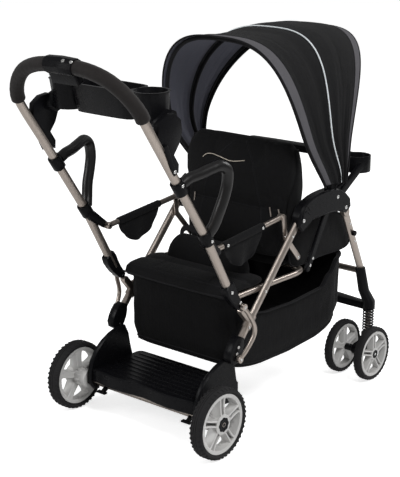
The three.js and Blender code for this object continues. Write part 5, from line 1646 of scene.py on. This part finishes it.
def bagPoint(turn, level, inset):
    u, v = squared(math.cos(turn)), squared(math.sin(turn))
    longShare, wideShare = eased(bag["levels"], level)
    gatherIn = 2.4 * math.sin(8 * turn) * math.sin(level * math.pi)
    broad = 2.0 * noise.noise(Vector((turn * 3.2, level * 2.5, 0.3)))
    fine = 1.2 * noise.noise(Vector((turn * 9, level * 5, 2.3)))
    slackness = math.sin(math.pi * min(level, 1)) * (broad + fine)
    rise = bag["riseRear"] * max(v, 0) ** 3 + bag["riseFront"] * max(-v, 0) ** 2.5
    low = bag["floor"] + inset + rise
    rim = eased(bag["rim"], bag["middle"] + v * bag["long"])[0]
    x = u * (bag["half"] * wideShare - inset + gatherIn + slackness)
    rearShift = (1 - longShare) * bag["drawn"]
    y = bag["middle"] + v * (bag["long"] * longShare - inset + gatherIn + slackness) + rearShift
    return at(x, y, low + (rim - low) * level)


def bagShell():
    around, up = bag["around"], bag["up"]
    points, faces, cloth = [], [], []
    levels = [(i / up) ** 1.5 for i in range(up + 1)]
    for layer, inset in ((0, 0.0), (1, 1.8)):
        base = len(points)
        for i, level in enumerate(levels):
            for k in range(around):
                turn = 2 * math.pi * k / around
                points.append(bagPoint(turn, level, inset))
                cloth.append((k / around * 1.7, level * 0.24))
        for i in range(up):
            for k in range(around):
                j = (k + 1) % around
                low, high = base + i * around, base + (i + 1) * around
                a, b, c, d = low + k, low + j, high + j, high + k
                faces.append((a, b, c, d) if layer == 0 else (d, c, b, a))
        # floor of the bag, sagging a little between its corners
        rimRing = list(range(base, base + around))
        middle = sum((points[i] for i in rimRing), Vector()) / around
        previous = rimRing
        for share in (0.85, 0.68, 0.5, 0.32, 0.15):
            ring = []
            for k, i in enumerate(rimRing):
                p = middle + (points[i] - middle) * share
                p.z = points[i].z * share + middle.z * (1 - share) + 0.6 * mm * noise.noise(p * 30)
                ring.append(len(points))
                points.append(p)
                cloth.append((p.x, p.y))
            for k in range(around):
                j = (k + 1) % around
                quad = (previous[j], previous[k], ring[k], ring[j])
                faces.append(quad if layer == 0 else tuple(reversed(quad)))
            previous = ring
        centre = len(points)
        points.append(Vector(middle))
        cloth.append((middle.x, middle.y))
        for k in range(around):
            j = (k + 1) % around
            a, b = (previous[j], previous[k]) if layer == 0 else (previous[k], previous[j])
            faces.append((a, b, centre))
    perLayer = len(points) // 2
    top = up * around
    for k in range(around):
        j = (k + 1) % around
        faces.append((top + k, top + j, perLayer + top + j, perLayer + top + k))
    return newPiece("basket_bag", meshFrom("basket_bag", points, faces, cloth), "basket")


bagPiece = bagShell()
hemPath, weltPath = (
    [bagPoint(2 * math.pi * k / 200, level, inset) for k in range(200)]
    for level, inset in ((0.985, 0.9), (0.1, -0.6))
)
hem = tube("basket_hem", hemPath, 1.9 * mm, "edge", 10, True, 7.5 * mm, (0, 0, 1))
welt = tube("basket_welt", weltPath, 1.5 * mm, "edge", 8, True)
for piece in (bagPiece, hem, welt):
    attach(piece, "frame")
    at(0, 230, 0)
    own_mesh(piece)
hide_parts("basket")
print("basket made")

# side guards: cloth sewn round the bars

guard = {"from": 0.13, "to": 0.72, "sleeve": 10.2, "drop": 74, "ripple": 3.5, "below": 7, "across": 41,
         "down": 19, "sleeveSteps": 60}
for label, sign in sides.items():
    first = between(places["sideRear"], places["sideFront"], guard["from"])
    last = between(places["sideRear"], places["sideFront"], guard["to"])
    grid = []
    for i in range(guard["across"]):
        share = i / (guard["across"] - 1)
        depth = guard["drop"] * math.sin(math.pi * (0.12 + 0.76 * share)) ** 0.5
        column = []
        for j in range(guard["down"]):
            down = j / (guard["down"] - 1)
            drawn = 0.5 + (share - 0.5) * (1 - 0.3 * down ** 2)
            y, z = between(first, last, 0.02 + 0.96 * drawn)
            unevenness = 1.2 * noise.noise(Vector((share * 5, down * 4, sign)))
            fold = guard["ripple"] * down * math.sin(share * 4 * math.pi) + unevenness
            column.append(at(sign * barX + fold, y, z - down * depth - guard["below"] * (1 - down)))
        grid.append(column)
    flap = sheetPiece("guard_flap_" + label, grid, clothThick, "cloth", 0.17, 0.075)[0]
    steps = guard["sleeveSteps"]
    sleevePath = evenly([side(first, sign, barX), side(last, sign, barX)], steps)
    radii = []
    for i in range(steps):
        drawnEnd = 1.2 if i in (0, steps - 1) else 0
        radii.append((guard["sleeve"] + 0.5 * noise.noise(Vector((i * 0.35, 2.0, sign))) - drawnEnd) * mm)
    sleeve = tube("guard_sleeve_" + label, sleevePath, radii, "cloth", 24)
    hemTube = tube("guard_hem_" + label, [column[-1] for column in grid], 1.7 * mm, "edge", 8)
    for piece in (flap, sleeve, hemTube):
        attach(piece, "side_bars")
    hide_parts("side_guard_" + label)

# seat side panels: soft quilted cloth that stands up to the housings

panelPlaces = ((-298, 394), (-300, 424), (-284, 462), (-250, 492), (-200, 508), (-130, 514), (-60, 508),
               (-24, 484), (-14, 440), (-20, 396), (-160, 389))
wingPlane = 170.5
wingHalf = ((-3.6, 0.0), (-3.6, 0.5), (-3.4, 0.82), (-2.2, 0.95))
wingSection = (*wingHalf, (0, 1.0), *((-out, share) for out, share in reversed(wingHalf)))
for label, sign in sides.items():
    outline = softPath([Vector((0, y, z)) for y, z in panelPlaces], 72, True)
    middle = sum(outline, Vector()) / len(outline)
    rings = []
    for out, share in wingSection:
        ring = []
        for p in outline:
            q = middle + (p - middle) * max(share, 0.02)
            puff = 0
            if out:
                puff = 0.8 * math.copysign(1, out) * noise.noise(Vector((q.y * 0.03, q.z * 0.03, sign)))
            ring.append(at(sign * wingPlane + out + puff, q.y, q.z))
        rings.append(ring)
    panel = formed("seat_wing_" + label, skin(rings), "pad")
    bodyPiece(panel, "frame", "pad")
    rimLine = [at(sign * wingPlane, p.y, p.z) for p in outline]
    rimTube = tube("seat_wing_binding_" + label, rimLine, 2.6 * mm, "edge", 8, True)
    bodyPiece(rimTube, "frame", "edge")
print("guards and wings made")

# brake rod with its pedals

brake = {"radius": 3.9, "reach": 194, "pedalFrom": 130, "pedalTo": 170}
pedals = polished("brake_bar", "satin", 0.6, "brake_pedals")
trimmed(pedals, lambda v: not brake["pedalFrom"] * mm < abs(v.co.x) < brake["pedalTo"] * mm)
a, b = (side(places["brakePivot"], way, brake["reach"]) for way in (-1, 1))
rod = roundedTube(a, b, brake["radius"], "brake_rod", "metal", 20, 0.8)
bodyPiece(rod, "brake_bar", "metal")

# lamps, floor and background


def seenDirectly(sheet, strength):
    # what the camera sees itself, and not what light bounces off
    path = sheet.tree.nodes.new("ShaderNodeLightPath")
    rays = ("Is Camera Ray", "Is Transmission Ray")
    straight, through = (Signal(sheet, path.outputs[name]) for name in rays)
    return straight.maths("MAXIMUM", through) * strength


def makeStudio():
    for lamp in studio["lamps"]:
        data = bpy.data.lights.new(lamp["name"], "AREA")
        data.shape = "DISK"
        data.size = lamp["size"]
        data.energy = lamp["power"]
        light = bpy.data.objects.new(lamp["name"], data)
        bpy.context.scene.collection.objects.link(light)
        light.location = lamp["place"]
        light.rotation_mode = "QUATERNION"
        light.rotation_quaternion = (Vector((0, 0, 0.45)) - light.location).to_track_quat("-Z", "Y")
    world = bpy.data.worlds.new("studioWorld")
    bpy.context.scene.world = world
    world.use_nodes = True
    sheet = NodeSheet(world.node_tree)
    background = world.node_tree.nodes["Background"]
    strength = seenDirectly(sheet, 1.0 - studio["worldLight"]) + studio["worldLight"]
    background.inputs["Color"].default_value = (1, 1, 1, 1)
    world.node_tree.links.new(strength.socket, background.inputs["Strength"])
    reach = studio["floorReach"]
    corners = [Vector((x * reach, y * reach, 0)) for x, y in ((-1, -1), (1, -1), (1, 1), (-1, 1))]
    floor = newPiece("floor", meshFrom("floor", corners, [(0, 1, 2, 3)]), None)
    material = bpy.data.materials.new("paleFloor")
    material.use_nodes = True
    tree = material.node_tree
    sheet = NodeSheet(tree)
    shader = tree.nodes["Principled BSDF"]
    shader.inputs["Base Color"].default_value = studio["floorColour"]
    shader.inputs["Roughness"].default_value = 0.9
    shader.inputs["Specular IOR Level"].default_value = 0.1
    shader.inputs["Emission Color"].default_value = (1, 1, 1, 1)
    wire(sheet, seenDirectly(sheet, studio["floorGlow"]), shader, "Emission Strength")
    floor.data.materials.append(material)


makeStudio()
makeCamera()
bpy.context.scene.view_settings.view_transform = "Standard"

print("pieces made")
